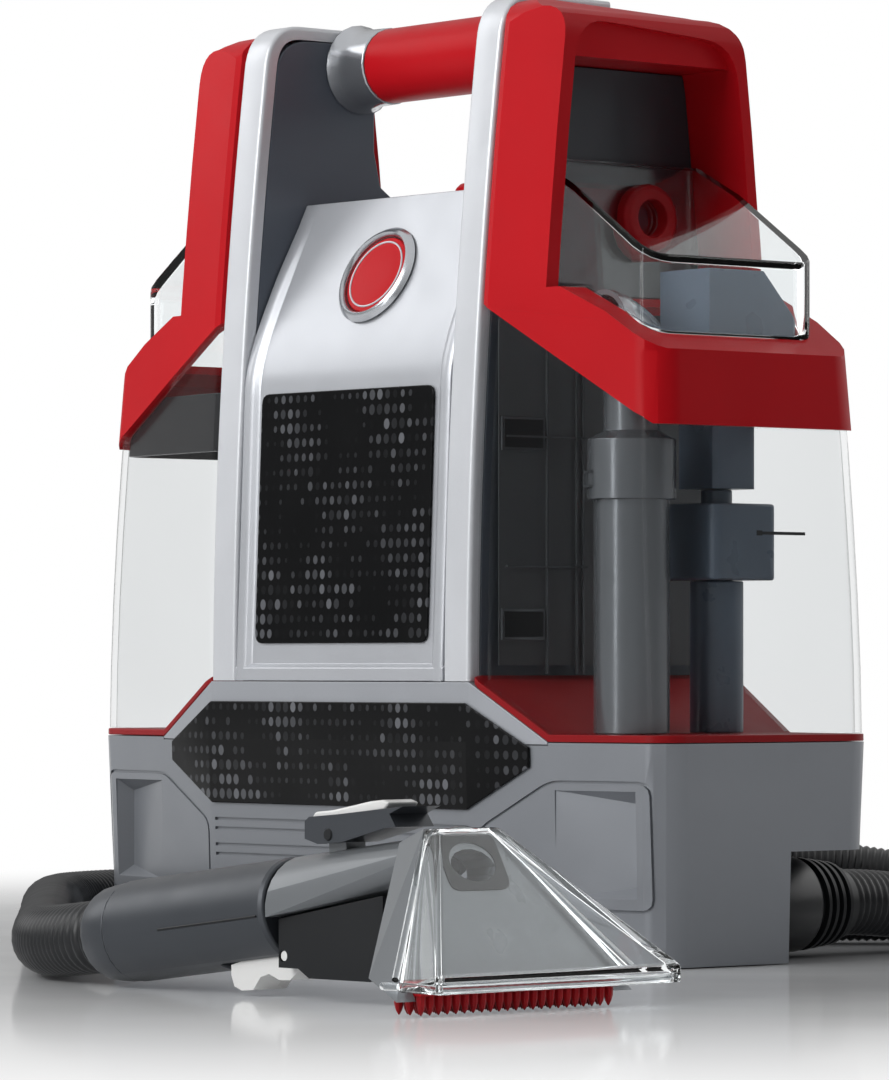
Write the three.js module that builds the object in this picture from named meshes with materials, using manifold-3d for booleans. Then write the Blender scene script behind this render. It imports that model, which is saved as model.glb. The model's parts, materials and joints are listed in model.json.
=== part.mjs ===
// A portable carpet cleaner: base, column with carrying handle, a clean and a dirty water tank that
// lift off to either side, and a hand tool on a hose. Millimetres, +X right, +Y back, +Z up, with the
// origin on the floor under the middle of the base.
import * as THREE from "three";
import { mergeVertices } from "three/addons/utils/BufferGeometryUtils.js";
import { ConvexGeometry } from "three/addons/geometries/ConvexGeometry.js";
import Module from "manifold-3d";

const wasm = await Module();
wasm.setup();

// ---- Driving dimensions ----
const gap = 0.3; // between pieces that touch
const wall = 3; // casings
const clearWall = 2.4; // clear tank walls
const pinClearance = 0.3; // round a pin in its hole

// Body
const columnHalf = 74; // half the column's width
const uprightWidth = 14; // each tower and its bright strip, across X
const halfDepth = 63.5; // half the column's depth at the base
const machineHalf = 162; // half the width over both tanks
const wingDrop = 13; // how far the tanks' fronts fall back from column to side
const cornerRadius = 13;
const trayHeight = 77; // where the tanks stand on the base
const shoulderHeight = 98; // seam between base and column
const saddleFoot = 76; // seam under the raised middle
const shoulderFoot = 110.5; // X where the shoulder comes down to the trays
const baseTaper = 2.4; // the base draws in this much at the floor
const towerLean = 17; // the towers lean back this much at the top
const leanPower = 1.9;
const towerHeight = 343;
const towerRear = 3.5; // Y of the towers' rear edge beside the handle
const stripThickness = 5;
const deckHeight = 276; // top of the column under the handle
const deckRear = 22; // Y where the deck turns down to the back

// Front panel, seen from the side: Y of the surface at each height
const borderHeight = 4.7;
const panelRecess = 2;
const labelBottom = 112;
const labelDrop = 72; // from the deck down to the label's top
const labelHalf = 49.5;
const labelLean = 3.6; // the label's top lies this much further back
const deckFront = -29.5; // Y of the panel's top edge
const badgeDrop = 30; // from the deck down to the badge's middle
const labelTop = deckHeight - labelDrop;
const badgeHeight = deckHeight - badgeDrop;
const badgeRadius = 15.5;
const badgeRingWidth = 2.4;
const badgeFace = 2;

// Handle
const gripRadius = 14;
const gripY = -3.5;
const gripHeight = towerHeight - 14.5;
const gripHalf = 41;
const sleeveFlare = 3;
const coreRadius = 7;

// Tanks
const tankGap = 0.6; // between tank and column
const bodyInset = 0.6; // the clear bodies stand this far inside the belts and trays
const sideTaper = 8; // the tanks draw in this much at the belt's top
const taperPower = 1.3;
const trayThickness = 2.5;
const beltProud = 1;
const beltThickness = 3.2;
const beltTopInner = 236; // the belt's upper edge at the column
const beltSweep = 23; // how far it comes down towards the side
const beltHeight = 26; // the belt's height at the side
const beltLip = 4; // and at the column
const beltTopSide = beltTopInner - beltSweep;
const beltLowSide = beltTopSide - beltHeight;
const beltLowInner = beltTopInner - beltLip;
const beltKnee = 111; // X where the belt's upper edge starts to fall
const hoodOuter = 105; // X of the hood's open side
const hoodLeg = 4.5;
const hoodRoof = 9;
const hoodRearSet = 8;
const hoodRadius = 15;
const hoodTop = towerHeight - 2;
const hoodFall = 5; // the roof drops this much from column to open side
const cleanHoodRear = 12; // the clean tank's hood is shallower: Y of its back at the column
const linerThickness = 2;
const linerTop = hoodTop - 23;
const domeSide = 145.5;
const domeFront = 42; // how far the dome reaches forward of the middle
const dirtyDomeRear = 38.5; // and back, on each tank
const cleanDomeRear = 11;
const domeKnee = beltTopInner + 10; // where the dome's side turns inwards
const domeShoulder = beltTopInner + 37;
const domeTop = beltTopInner + 48;
const collarDrop = 3; // how far the clean tank's inner collar shows below the belt's side
const collarHeight = 22;
const outletRadius = 7;
const capX = 96; // clean tank's filler cap
const capY = 35;
const capRadius = 11;
const capHeight = 7;

// Dirty tank's inside
const pipeX = 120;
const pipeY = -27.5;
const pipeRadius = 13.4;
const pipeWall = 2;
const pipeCollarRadius = 15.6;
const neckRadius = 10;
const elbowHeight = beltTopInner - 10;
const pipeTop = elbowHeight - 64;
const pipeCollarTop = elbowHeight - 40;
const elbowRadius = 12;
const elbowReach = 17;
const postX = 121;
const postY = 12;
const postRadius = 9.5;
const floatSize = 31;
const floatHeight = 27;
const floatRise = 5;
const cageSize = 21;
const cageTop = beltTopInner - 32;
const floatBottom = cageTop - 70;
const baffleTop = beltTopInner + 7; // the baffle box over the cage
const baffleFront = -8; // its Y range and X range
const baffleBack = 34;
const baffleFrom = 111;
const baffleTo = 138;
const sealHeight = beltTopInner + 26;
const sealY = 13;
const sealRadius = 13;

// Base details
const undercutX = 100;
const undercutY = 10.5;
const undercutHeight = 39;
const footRadius = 9;
const footHeight = 2.7;
const bandTop = 90.7;
const bandBottom = 53;
const bandHalf = 73;
const bandTip = 102.5;
const bandTipHeight = 7;
const bandProud = 1;
const grooveWidth = 1.1;
const grooveDepth = 1;

// Hose and its connector
const hoseRadius = 12;
const hoseBore = 9;
const coilOuter = 136; // middle of the coil's outer turn
const coilPitch = 26;
const coilY = 210;
const connectorX = 125;
const connectorHeight = 18.5;
const connectorRadius = 17;
const connectorEnd = 66;
const ductRadius = 9.5;
const ductWall = 2;

// Motor, fan and pump
const motorY = 4;
const fanRadius = 50;
const fanBottom = 118;
const fanHeight = 40;
const fanInlet = 18; // radius of the hole in the fan housing's floor
const impellerRadius = 44;
const motorRadius = 38;
const motorTop = deckHeight - 54;
const shaftRadius = 4;
const shaftDepth = 20; // how far the motor's socket takes the fan's shaft
const pumpRadius = 17;
const pumpX = -98; // its outer end
const pumpY = 4;
const pumpHeight = 28;
const buttonY = 8.5;
const buttonRadius = 12;
const buttonTravel = 3;

// Hand tool, in its own frame: X along the handle to the nozzle, with the origin on the floor under
// the handle's end
const toolX = 127;
const toolY = -247.4;
const toolYaw = 3;
const handleRadius = 16.5;
const handleMiddle = 18; // height of the handle's middle line at its end
const handleLength = 79;
const handleRise = 0.123; // height gained for each millimetre along the handle
const handleBore = 10;
const boreLift = 3; // the bore lies this far above the handle's middle
const cuffLength = 14;
const cuffEndRadius = 14;
const neckEnd = handleLength + 61; // X where the neck meets the nozzle flange
const neckHalf = 14;
const neckLow = 36;
const neckHigh = 52;
const flangeTop = [[neckEnd - 3, 12, 50], [neckEnd + 9, 13, 54.5]]; // X, half width, height; back, front
const flangeFoot = [[neckEnd + 21, 46.5, 11], [neckEnd + 36, 49, 4.5]];
const hoodFrontTop = neckEnd + 15;
const lipReach = neckEnd + 56;
const lipHalf = 50.5;
const lipBottom = 7.5;
const lipTop = 13;
const brushHalf = 41;
const brushFrom = neckEnd + 24;
const brushTo = neckEnd + 38;
const bristleLength = 7;
const brushBar = 2.5;
const triggerHalf = 7;
const triggerReach = 31;
const triggerPivot = [handleLength + 5, 13.5]; // X and height
const triggerPin = 1.6;
const valveHalf = 12.5;
const valveEnd = neckEnd - 10;
const latchHalf = 8;
const latchLug = 4;
const latchPivot = [handleLength + 21, 51.5];
const latchPin = 1.5;

const right = columnHalf + tankGap; // X where the right tank starts
const innerHalf = columnHalf - uprightWidth; // half the width between the towers

// ---- Materials ----
function finish(color, roughness, metalness = 0, opacity = 1) {
  return new THREE.MeshStandardMaterial({ color, roughness, metalness, opacity, transparent: opacity < 1 });
}
const silver = finish(0xc9ccd1, 0.35, 0.35);
const baseGrey = finish(0x70757c, 0.4, 0.3);
const darkGrey = finish(0x3c434b, 0.5);
const blueGrey = finish(0x5f6b78, 0.35);
const pipeGrey = finish(0x6c7176, 0.3);
const red = finish(0xb3151c, 0.3);
const deepRed = finish(0x5c0a0e, 0.45);
const black = finish(0x0c0d0f, 0.45);
const clear = finish(0xdfe6e8, 0.08, 0, 0.3);
const white = finish(0xe9e9e7, 0.4);
const rubber = finish(0x17181a, 0.8);
const steel = finish(0x9a9c9f, 0.3, 0.9);

// ---- Solids ----
function solid(geometry) {
  const bare = geometry.index ? geometry.toNonIndexed() : geometry.clone();
  for (const name of ["normal", "uv"]) bare.deleteAttribute(name);
  const merged = mergeVertices(bare, 1e-4);
  const vertProperties = new Float32Array(merged.attributes.position.array);
  const triVerts = new Uint32Array(merged.index.array);
  return new wasm.Manifold(new wasm.Mesh({ numProp: 3, vertProperties, triVerts }));
}

function geometryOf(shape) {
  const mesh = shape.getMesh();
  const geometry = new THREE.BufferGeometry();
  geometry.setAttribute("position", new THREE.BufferAttribute(mesh.vertProperties, 3));
  geometry.setIndex(new THREE.BufferAttribute(mesh.triVerts, 1));
  const flat = geometry.toNonIndexed();
  flat.computeVertexNormals();
  return flat;
}

const alongX = new THREE.Matrix4().makeBasis(
  new THREE.Vector3(0, 1, 0), new THREE.Vector3(0, 0, 1), new THREE.Vector3(1, 0, 0));
const alongY = new THREE.Matrix4().makeBasis(
  new THREE.Vector3(1, 0, 0), new THREE.Vector3(0, 0, 1), new THREE.Vector3(0, -1, 0));

// The same shape on the other side of the machine.
function mirror(shape) {
  const { vertProperties, triVerts } = shape.getMesh();
  const turnedRound = triVerts.map((_, i) => triVerts[i + [0, 1, -1][i % 3]]);
  const across = vertProperties.map((value, i) => (i % 3 ? value : -value));
  return new wasm.Manifold(new wasm.Mesh({ numProp: 3, vertProperties: across, triVerts: turnedRound }));
}

function hull(points) {
  return solid(new ConvexGeometry(points.map((p) => new THREE.Vector3(...p))));
}

// An outline of pairs pushed along an axis: (y, z) along x, (x, z) along y, or (x, y) along z.
function prism(axis, outline, from, to) {
  const shape = new THREE.Shape(outline.map(([a, b]) => new THREE.Vector2(a, b)));
  const geometry = new THREE.ExtrudeGeometry(shape, { depth: to - from, bevelEnabled: false });
  geometry.translate(0, 0, axis === "y" ? -to : from);
  if (axis === "x") geometry.applyMatrix4(alongX);
  if (axis === "y") geometry.applyMatrix4(alongY);
  return solid(geometry);
}

function box(x0, x1, y0, y1, z0, z1) {
  const geometry = new THREE.BoxGeometry(x1 - x0, y1 - y0, z1 - z0);
  geometry.translate((x0 + x1) / 2, (y0 + y1) / 2, (z0 + z1) / 2);
  return solid(geometry);
}

// A solid of revolution. The profile is [radius, distance] pairs from the low end round to the high
// end and, for a hollow piece, back inside. It stands on the given point, along the given axis.
function turned(profile, axis, x, y, z, segments = 20) {
  const hollow = profile[0][0] > 0 && profile.at(-1)[0] > 0;
  const pairs = hollow ? [...profile, profile[0]] : profile;
  const points = pairs.map(([r, h]) => new THREE.Vector2(r, h));
  const geometry = new THREE.LatheGeometry(points, segments);
  geometry.rotateX(Math.PI / 2);
  if (axis === "x") geometry.rotateY(Math.PI / 2);
  if (axis === "y") geometry.rotateX(-Math.PI / 2);
  geometry.translate(x, y, z);
  return solid(geometry);
}

function rod(radius, from, to, axis, x, y, z, segments = 20) {
  return turned([[0, from], [radius, from], [radius, to], [0, to]], axis, x, y, z, segments);
}

// A stack of outlines of equally many points, counter-clockwise, each at its own height.
function loft(rings) {
  const count = rings[0].points.length;
  const positions = rings.flatMap(({ z, points }) => points.flatMap(([x, y]) => [x, y, z]));
  const index = [];
  for (let k = 0; k + 1 < rings.length; k++) {
    for (let i = 0; i < count; i++) {
      const a = k * count + i;
      const b = k * count + ((i + 1) % count);
      index.push(a, b, b + count, a, b + count, a + count);
    }
  }
  const cap = ({ points }) => {
    return THREE.ShapeUtils.triangulateShape(points.map((p) => new THREE.Vector2(...p)), []);
  };
  const top = (rings.length - 1) * count;
  for (const [a, b, c] of cap(rings[0])) index.push(a, c, b);
  for (const [a, b, c] of cap(rings.at(-1))) index.push(top + a, top + b, top + c);
  const geometry = new THREE.BufferGeometry();
  geometry.setAttribute("position", new THREE.Float32BufferAttribute(positions, 3));
  geometry.setIndex(index);
  return solid(geometry);
}

// A path's corners cut back by the radii given and rounded.
function rounded(points, radii, segments = 5) {
  const count = points.length;
  return points.flatMap((p, i) => {
    const radius = Array.isArray(radii) ? radii[i] : radii;
    if (!radius) return [p];
    const corner = new THREE.Vector2(...p);
    const ends = [(i + count - 1) % count, (i + 1) % count].map((k) => {
      const way = new THREE.Vector2(...points[k]).sub(corner);
      return corner.clone().addScaledVector(way.normalize(), radius);
    });
    const bend = new THREE.QuadraticBezierCurve(ends[0], corner, ends[1]);
    return bend.getPoints(segments).map(({ x, y }) => [x, y]);
  });
}

function mirrored(points) {
  return points.map(([x, y]) => [-x, y]).reverse();
}

const model = new THREE.Group();

function add(group, name, shape, material) {
  const mesh = new THREE.Mesh(shape.isBufferGeometry ? shape : geometryOf(shape), material);
  mesh.name = name;
  group.add(mesh);
  return mesh;
}

// ---- Outer form ----
// Half the depth at the column, and half the width, at each height.
function frontAt(z) {
  if (z < trayHeight) return halfDepth - baseTaper * (1 - z / trayHeight);
  const up = Math.max(0, (z - shoulderHeight) / (towerHeight - shoulderHeight));
  return halfDepth - towerLean * up ** leanPower;
}

function sideAt(z) {
  if (z < trayHeight) return machineHalf - baseTaper * (1 - z / trayHeight);
  return machineHalf - sideTaper * ((z - trayHeight) / (beltTopSide - trayHeight)) ** taperPower;
}

// How far a wing's front has fallen back at X.
function wingAt(x) {
  return wingDrop * Math.max(0, (x - columnHalf) / (machineHalf - columnHalf));
}

// The right wing's outline at one height, drawn in by an inset, from an inner X outwards.
function wingOutline(z, inset, innerX, innerRadius) {
  const side = sideAt(z) - inset;
  const radius = Math.max(3, cornerRadius - inset);
  const depth = (x) => frontAt(z) - inset - wingAt(x);
  const front = [];
  if (innerRadius) {
    const y = depth(innerX);
    front.push([innerX, -y + innerRadius], [innerX + innerRadius * 0.3, -y + innerRadius * 0.3]);
  }
  front.push([innerX + innerRadius, -depth(innerX + innerRadius)]);
  const centreY = -(depth(side - radius) - radius);
  for (let i = 0; i <= 5; i++) {
    const turn = (-Math.PI / 2) * (1 - i / 5);
    front.push([side - radius + radius * Math.cos(turn), centreY + radius * Math.sin(turn)]);
  }
  return [...front, ...front.map(([x, y]) => [x, -y]).reverse()];
}

function levels(from, to, step) {
  const count = Math.max(1, Math.round((to - from) / step));
  return Array.from({ length: count + 1 }, (_, i) => from + ((to - from) * i) / count);
}

function wing(from, to, inset, step = 28) {
  const inner = right + Math.max(0, inset);
  return loft(levels(from, to, step).map((z) => ({ z, points: wingOutline(z, inset, inner, 4) })));
}

function wholeOutline(z, inset) {
  const half = wingOutline(z, inset, columnHalf, 0);
  return [...half, ...mirrored(half)];
}

// The shoulder's line over the right half, moved up or down.
function shoulderLine(rise) {
  return [[columnHalf, shoulderHeight + rise], [shoulderFoot, trayHeight + rise]];
}

// ---- Base ----
function baseBlock(inset, bottom, drop) {
  const heights = [Math.min(0, bottom), trayHeight, shoulderHeight];
  const block = loft(heights.map((z) => ({ z, points: wholeOutline(z, inset) })));
  const over = machineHalf + 10;
  const rightTop = [...shoulderLine(-drop), [over, trayHeight - drop]];
  const leftTop = rightTop.map(([x, z]) => [-x, z]);
  const outline = [[over, bottom], ...[...rightTop].reverse(), ...leftTop, [-over, bottom]];
  return block.intersect(prism("y", outline, -200, 200));
}

function undercut(grow) {
  const far = 200;
  return box(undercutX - grow, far, undercutY - grow, far, -far, undercutHeight + grow);
}

// The finger recess sunk into a wing's front: flush at the column end, deepest beside the corner.
function wingRecess(grow) {
  const x0 = 113 - grow;
  const x1 = 149 + grow;
  const top = 60.5 + grow;
  const low = 23 - grow;
  const depth = 5.5 + grow;
  const proud = 4;
  const face = (x) => -(frontAt(40) - wingAt(x));
  const points = [];
  for (const z of [top, low]) {
    points.push([x0, face(x0), z], [x1, face(x1), z], [x0, face(x0) - proud, z], [x1, face(x1) - proud, z]);
  }
  for (const z of [top - 4.5, low + 4.5]) points.push([x1 - 3.5, face(x1) + depth, z]);
  return hull(points);
}

function skin(depth) {
  const ring = (z, inset) => ({ z, points: wholeOutline(z, inset) });
  const heights = [0, trayHeight, shoulderHeight];
  const outer = loft(heights.map((z) => ring(z, -2)));
  return outer.subtract(loft([-1, ...heights, shoulderHeight + 1].map((z) => ring(z, depth))));
}

function wingPanelOutline(inset) {
  const low = 18.5 + inset;
  const high = 64 - inset;
  const outer = 155.5 - inset;
  const inner = 77 + inset;
  return [
    [inner, low], [outer, low], [outer, high], [shoulderFoot + inset * 0.3, high],
    [inner, 46.5 - inset * 0.5],
  ];
}

function makeBase() {
  const both = (shape) => shape.add(mirror(shape));
  const cavity = baseBlock(wall, -wall, wall).subtract(undercut(wall)).subtract(both(wingRecess(wall)));
  let housing = baseBlock(0, 0, 0).subtract(cavity).subtract(undercut(0)).subtract(both(wingRecess(0)));
  const outline = prism("y", rounded(wingPanelOutline(0), 5, 3), -200, 0)
    .subtract(prism("y", rounded(wingPanelOutline(grooveWidth), 4, 3), -201, 1));
  housing = housing.subtract(both(outline).intersect(skin(grooveDepth)));
  for (const z of [47, 43.5, 37.5, 34]) {
    const y = -frontAt(z);
    const halfGroove = grooveWidth / 2;
    const groove = box(-bandHalf, bandHalf, y - 2, y + grooveDepth, z - halfGroove, z + halfGroove);
    housing = housing.subtract(groove);
  }
  housing = housing
    .subtract(rod(ductRadius + gap, trayHeight - 2 * wall, trayHeight + 1, "z", pipeX, pipeY, 0))
    .subtract(rod(ductRadius + gap, trayHeight - 2 * wall, trayHeight + 1, "z", -pipeX, pipeY, 0))
    .subtract(rod(connectorRadius - 5 + gap, -8, 2, "y", connectorX, undercutY, connectorHeight))
    .subtract(rod(6 + gap, -8, 8, "y", -60, halfDepth, 30));
  // The raised middle that carries the column is a moulding of its own.
  const saddleSpace = (slack) => {
    const half = shoulderFoot - slack;
    return box(-half, half, -200, 200, saddleFoot + slack, shoulderHeight + 1);
  };
  add(model, "base_housing", housing.subtract(saddleSpace(0)), baseGrey);
  add(model, "base_saddle", housing.intersect(saddleSpace(gap)), baseGrey);

  const points = wholeOutline(0, wall + gap);
  let plate = loft([{ z: 0, points }, { z: wall, points }]).subtract(undercut(wall + gap));
  const feet = [
    [-135, -36, "front_left"], [135, -36, "front_right"], [-85, 42, "rear_left"], [80, 42, "rear_right"],
  ];
  for (const [x, y, where] of feet) {
    plate = plate.subtract(rod(footRadius + gap, -1, wall + 1, "z", x, y, 0, 20));
    const profile = [[0, 0], [footRadius - 1, 0], [footRadius, 1], [footRadius, footHeight], [0, footHeight]];
    add(model, `foot_${where}`, turned(profile, "z", x, y, 0, 20), rubber);
  }
  add(model, "base_plate", plate, darkGrey);

  const middle = (bandTop + bandBottom) / 2;
  const band = [
    [-bandTip, middle - bandTipHeight / 2], [-bandHalf, bandBottom], [bandHalf, bandBottom],
    [bandTip, middle - bandTipHeight / 2], [bandTip, middle + bandTipHeight / 2], [bandHalf, bandTop],
    [-bandHalf, bandTop], [-bandTip, middle + bandTipHeight / 2],
  ];
  const shell = (inset, heights) => loft(heights.map((z) => ({ z, points: wholeOutline(z, inset) })));
  const face = shell(-gap - bandProud, [40, trayHeight, shoulderHeight])
    .subtract(shell(-gap, [39, trayHeight, shoulderHeight + 1]));
  add(model, "front_band", prism("y", band, -200, 0).intersect(face), black);
}

// ---- Column ----
// The towers' front line and its rounded top, drawn in by an inset, as (y, z) pairs.
function towerPath(inset) {
  const round = 17;
  const bottom = shoulderHeight + gap;
  const path = levels(bottom, towerHeight - round, 38).map((z) => [-frontAt(z) + inset, z]);
  const top = towerHeight - inset;
  const startY = -frontAt(towerHeight - round) + inset;
  const bend = new THREE.QuadraticBezierCurve(
    new THREE.Vector2(startY, towerHeight - round), new THREE.Vector2(startY + 1.5, top),
    new THREE.Vector2(startY + round, top));
  path.push(...bend.getPoints(6).slice(1).map(({ x, y }) => [x, y]));
  path.push([towerRear, top]);
  return path;
}

// The front panel's surface, moved back by an inset, as (y, z) pairs from the seam to the deck.
function panelPath(inset) {
  const seam = shoulderHeight + gap;
  const recess = -halfDepth + panelRecess;
  const labelFoot = recess + 0.3;
  const labelHead = labelFoot + labelLean;
  const bend = new THREE.CubicBezierCurve(
    new THREE.Vector2(labelHead, labelTop + 3), new THREE.Vector2(labelHead + 1.5, labelTop + 18),
    new THREE.Vector2(deckFront - 20, deckHeight - 42), new THREE.Vector2(deckFront, deckHeight));
  const border = [[-halfDepth, seam], [-halfDepth, seam + borderHeight], [recess, seam + borderHeight + 1.5]];
  const path = [...border, [labelFoot, labelBottom], ...bend.getPoints(8).map(({ x, y }) => [x, y])];
  return path.map(([y, z]) => [y + inset, z]);
}

function panelAt(z) {
  const path = panelPath(0);
  const k = path.findIndex((p) => p[1] > z);
  const [y0, z0] = path[k - 1];
  const [y1, z1] = path[k];
  return { y: y0 + ((y1 - y0) * (z - z0)) / (z1 - z0), lean: Math.atan2(y1 - y0, z1 - z0) };
}

function makeColumn() {
  const half = innerHalf - gap;
  const panelOutline = [...panelPath(0), ...panelPath(wall).reverse()];
  let panel = prism("x", panelOutline, -half, half);

  const badge = panelAt(badgeHeight);
  const ringOuter = badgeRadius + badgeRingWidth;
  const lift = 1.6;
  // A round piece standing out from the panel's slope.
  const badgeGeometry = (profile) => {
    const geometry = new THREE.LatheGeometry(profile.map(([r, h]) => new THREE.Vector2(r, h)), 32);
    geometry.rotateX(Math.PI - badge.lean);
    geometry.translate(0, badge.y, badgeHeight);
    return solid(geometry);
  };
  const sink = wall / 2;
  const seat = badgeRadius + gap;
  panel = panel
    .add(badgeGeometry([
      [0, -sink], [ringOuter, -sink], [ringOuter, lift - 0.6], [ringOuter - 0.6, lift], [0, lift],
    ]))
    .subtract(badgeGeometry([[0, -badgeFace], [seat, -badgeFace], [seat, 9], [0, 9]]));
  add(model, "front_panel", panel, silver);
  add(model, "badge", badgeGeometry([
    [0, gap - badgeFace], [badgeRadius, gap - badgeFace], [badgeRadius, 0.6], [badgeRadius - 0.8, 1], [0, 1],
  ]), red);

  const label = rounded([
    [-labelHalf, labelBottom], [labelHalf, labelBottom], [labelHalf, labelTop], [-labelHalf, labelTop],
  ], 4, 4);
  const slab = (out) => panelPath(-out).slice(2);
  const labelSkin = prism("x", [...slab(gap + 0.8), ...slab(gap).reverse()], -half, half);
  add(model, "label_plate", prism("y", label, -200, 0).intersect(labelSkin), black);

  for (const [side, where] of [[1, "right"], [-1, "left"]]) {
    const stripOutline = [...towerPath(0), ...towerPath(stripThickness).reverse()];
    const strip = prism("x", stripOutline, innerHalf, columnHalf);
    add(model, `upright_${where}`, strip, silver).scale.x = side;

    const inside = towerPath(stripThickness + gap);
    const back = levels(deckHeight - 20, shoulderHeight + gap, -38).map((z) => [frontAt(z), z]);
    const outline = [
      ...inside, [towerRear, deckHeight + 22], [towerRear + 3, deckHeight + 9], [deckRear, deckHeight - 2],
      [frontAt(deckHeight) - 9, deckHeight - 12], ...back,
    ];
    const boss = rod(gripRadius + sleeveFlare + 0.5, innerHalf, columnHalf, "x", 0, gripY, gripHeight);
    const hollow = box(
      innerHalf - 1, columnHalf - wall, 18 - halfDepth, halfDepth - 12, shoulderHeight + 14, deckHeight - 40);
    const frame = prism("x", outline, innerHalf, columnHalf)
      .add(boss)
      .intersect(box(0, 200, -200, 200, 0, towerHeight - stripThickness - gap))
      .subtract(hollow)
      .subtract(rod(coreRadius + gap, innerHalf - 1, columnHalf - wall, "x", 0, gripY, gripHeight, 20));
    add(model, `side_frame_${where}`, frame, darkGrey).scale.x = side;
  }

  const deck = [
    [deckFront + wall + gap, deckHeight], [deckRear, deckHeight], [deckRear + 17, deckHeight - 5],
    [frontAt(deckHeight) - 5, deckHeight - 14], [frontAt(deckHeight) + 2, deckHeight - 28],
  ];
  const deckUnder = deck.map(([y, z], i) => [y - (i > 2 ? wall : 0), z - (i > 3 ? 0 : wall)]).reverse();
  const deckHole = rod(buttonRadius + gap, deckHeight - 8, deckHeight + 5, "z", 0, buttonY, 0);
  add(model, "top_deck", prism("x", [...deck, ...deckUnder], -half, half).subtract(deckHole), silver);

  const coverTop = deckHeight - 28 - gap;
  const outer = levels(shoulderHeight + gap, coverTop, 38).map((z) => [frontAt(z), z]);
  let cover = prism("x", [...outer, ...outer.map(([y, z]) => [y - wall, z]).reverse()], -half, half);
  for (const z of levels(120, 156, 9)) cover = cover.subtract(box(-32, 32, 40, 80, z, z + 4));
  add(model, "rear_cover", cover, darkGrey);
}

function makeHandle() {
  const bore = coreRadius + gap;
  const barrel = (profile) => turned(profile, "x", 0, gripY, gripHeight, 24);
  const reach = gripHalf - gap;
  add(model, "handle_grip", barrel([
    [bore, -reach], [gripRadius, -reach], [gripRadius, reach], [bore, reach],
  ]), red);
  for (const [side, where] of [[1, "right"], [-1, "left"]]) {
    const end = innerHalf - gap;
    add(model, `handle_sleeve_${where}`, barrel([
      [bore, gripHalf], [gripRadius + 0.4, gripHalf], [gripRadius + 0.6, end - 9],
      [gripRadius + 1.2, end - 4.5], [gripRadius + sleeveFlare, end], [bore, end],
    ]), silver).scale.x = side;
  }
  const coreHalf = columnHalf - wall - gap;
  add(model, "handle_core", rod(coreRadius, -coreHalf, coreHalf, "x", 0, gripY, gripHeight), steel);
}

function makeInside() {
  const bore = fanRadius - wall;
  add(model, "fan_housing", turned([
    [fanInlet, 0], [fanRadius, 0], [fanRadius, fanHeight], [bore, fanHeight], [bore, wall], [fanInlet, wall],
  ], "z", 0, motorY, fanBottom, 28), darkGrey);

  const motorFoot = fanBottom + fanHeight + gap;
  const tall = motorTop - motorFoot;
  const socket = shaftRadius + gap;
  const capRim = motorRadius - 14;
  add(model, "suction_motor", turned([
    [0, shaftDepth], [socket, shaftDepth], [socket, 0], [fanRadius, 0], [fanRadius, wall],
    [motorRadius, wall], [motorRadius, tall - 12], [capRim, tall - 8], [capRim, tall], [0, tall],
  ], "z", 0, motorY, motorFoot), steel);

  const floor = fanBottom + wall + 3;
  let impeller = turned([
    [0, 0], [10, 0], [impellerRadius, 9], [impellerRadius, 11], [12, 11], [12, 26], [shaftRadius, 26],
    [shaftRadius, 50], [0, 50],
  ], "z", 0, motorY, floor);
  const blades = 8;
  for (let i = 0; i < blades; i++) {
    const blade = new THREE.BoxGeometry(impellerRadius - 14, 2, 16);
    blade.translate(impellerRadius / 2 + 6, 0, 17);
    blade.rotateZ((2 * Math.PI * i) / blades);
    blade.translate(0, motorY, floor);
    impeller = impeller.add(solid(blade));
  }
  add(model, "impeller", impeller, steel);

  const pumpNeck = pumpRadius - 4;
  add(model, "pump", turned([
    [0, 0], [pumpRadius, 0], [pumpRadius, 34], [pumpNeck, 36], [pumpNeck, 58], [6, 60], [6, 68], [0, 68],
  ], "x", pumpX, pumpY, pumpHeight, 24), black);

  const switchTop = deckHeight - 14;
  const module = box(-13, 13, buttonY - 9, buttonY + 9, switchTop - 16, switchTop - gap - buttonTravel);
  add(model, "switch_module", module, black);
  const stem = buttonRadius - 4;
  add(model, "power_button", turned([
    [0, 0], [stem, 0], [stem, 7], [buttonRadius, 7], [buttonRadius, 18], [buttonRadius - 2, 20], [0, 21],
  ], "z", 0, buttonY, switchTop + gap, 24), red);

  add(model, "power_cord_gland", turned([
    [0, -6], [6, -6], [6, 0], [9, 0], [8, 4], [5, 6], [5, 12], [0, 12],
  ], "y", -60, frontAt(30) + gap, 30, 20), rubber);
}

// ---- Tanks ----
const beltLow = [
  [0, beltLowInner], [right, beltLowInner], [150, beltLowSide + 2.5], [153, beltLowSide], [200, beltLowSide],
];
const beltTop = [
  [0, beltTopInner], [beltKnee, beltTopInner], [132, beltTopInner - 9.5], [149, beltTopSide + 3],
  [154, beltTopSide], [200, beltTopSide],
];
function shifted(line, rise) {
  return line.map(([x, z]) => [x, z + rise]);
}
// What lies between two lines over X, through the whole depth.
function between(low, high) {
  return prism("y", [...low, ...[...high].reverse()], -200, 200);
}
function tubeWing(from, to, outset, inset) {
  return wing(from, to, outset).subtract(wing(from - 1, to + 1, inset));
}

// The hood's side outline as (y, z) pairs, drawn in at the front, the roof and the rear.
function hoodOutline(front, roof, rear, rearAt) {
  const low = beltTopInner - 20;
  const rising = levels(low, hoodTop - roof, 36).map((z) => [-frontAt(z) + front, z]);
  const falling = levels(hoodTop - roof - hoodFall, low, -36).map((z) => [rearAt(z) - rear, z]);
  const corner = rising.length - 1;
  const radii = [...rising, ...falling].map((_, i) => (i === corner || i === corner + 1 ? hoodRadius : 0));
  return rounded([...rising, ...falling], radii, 6);
}

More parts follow.
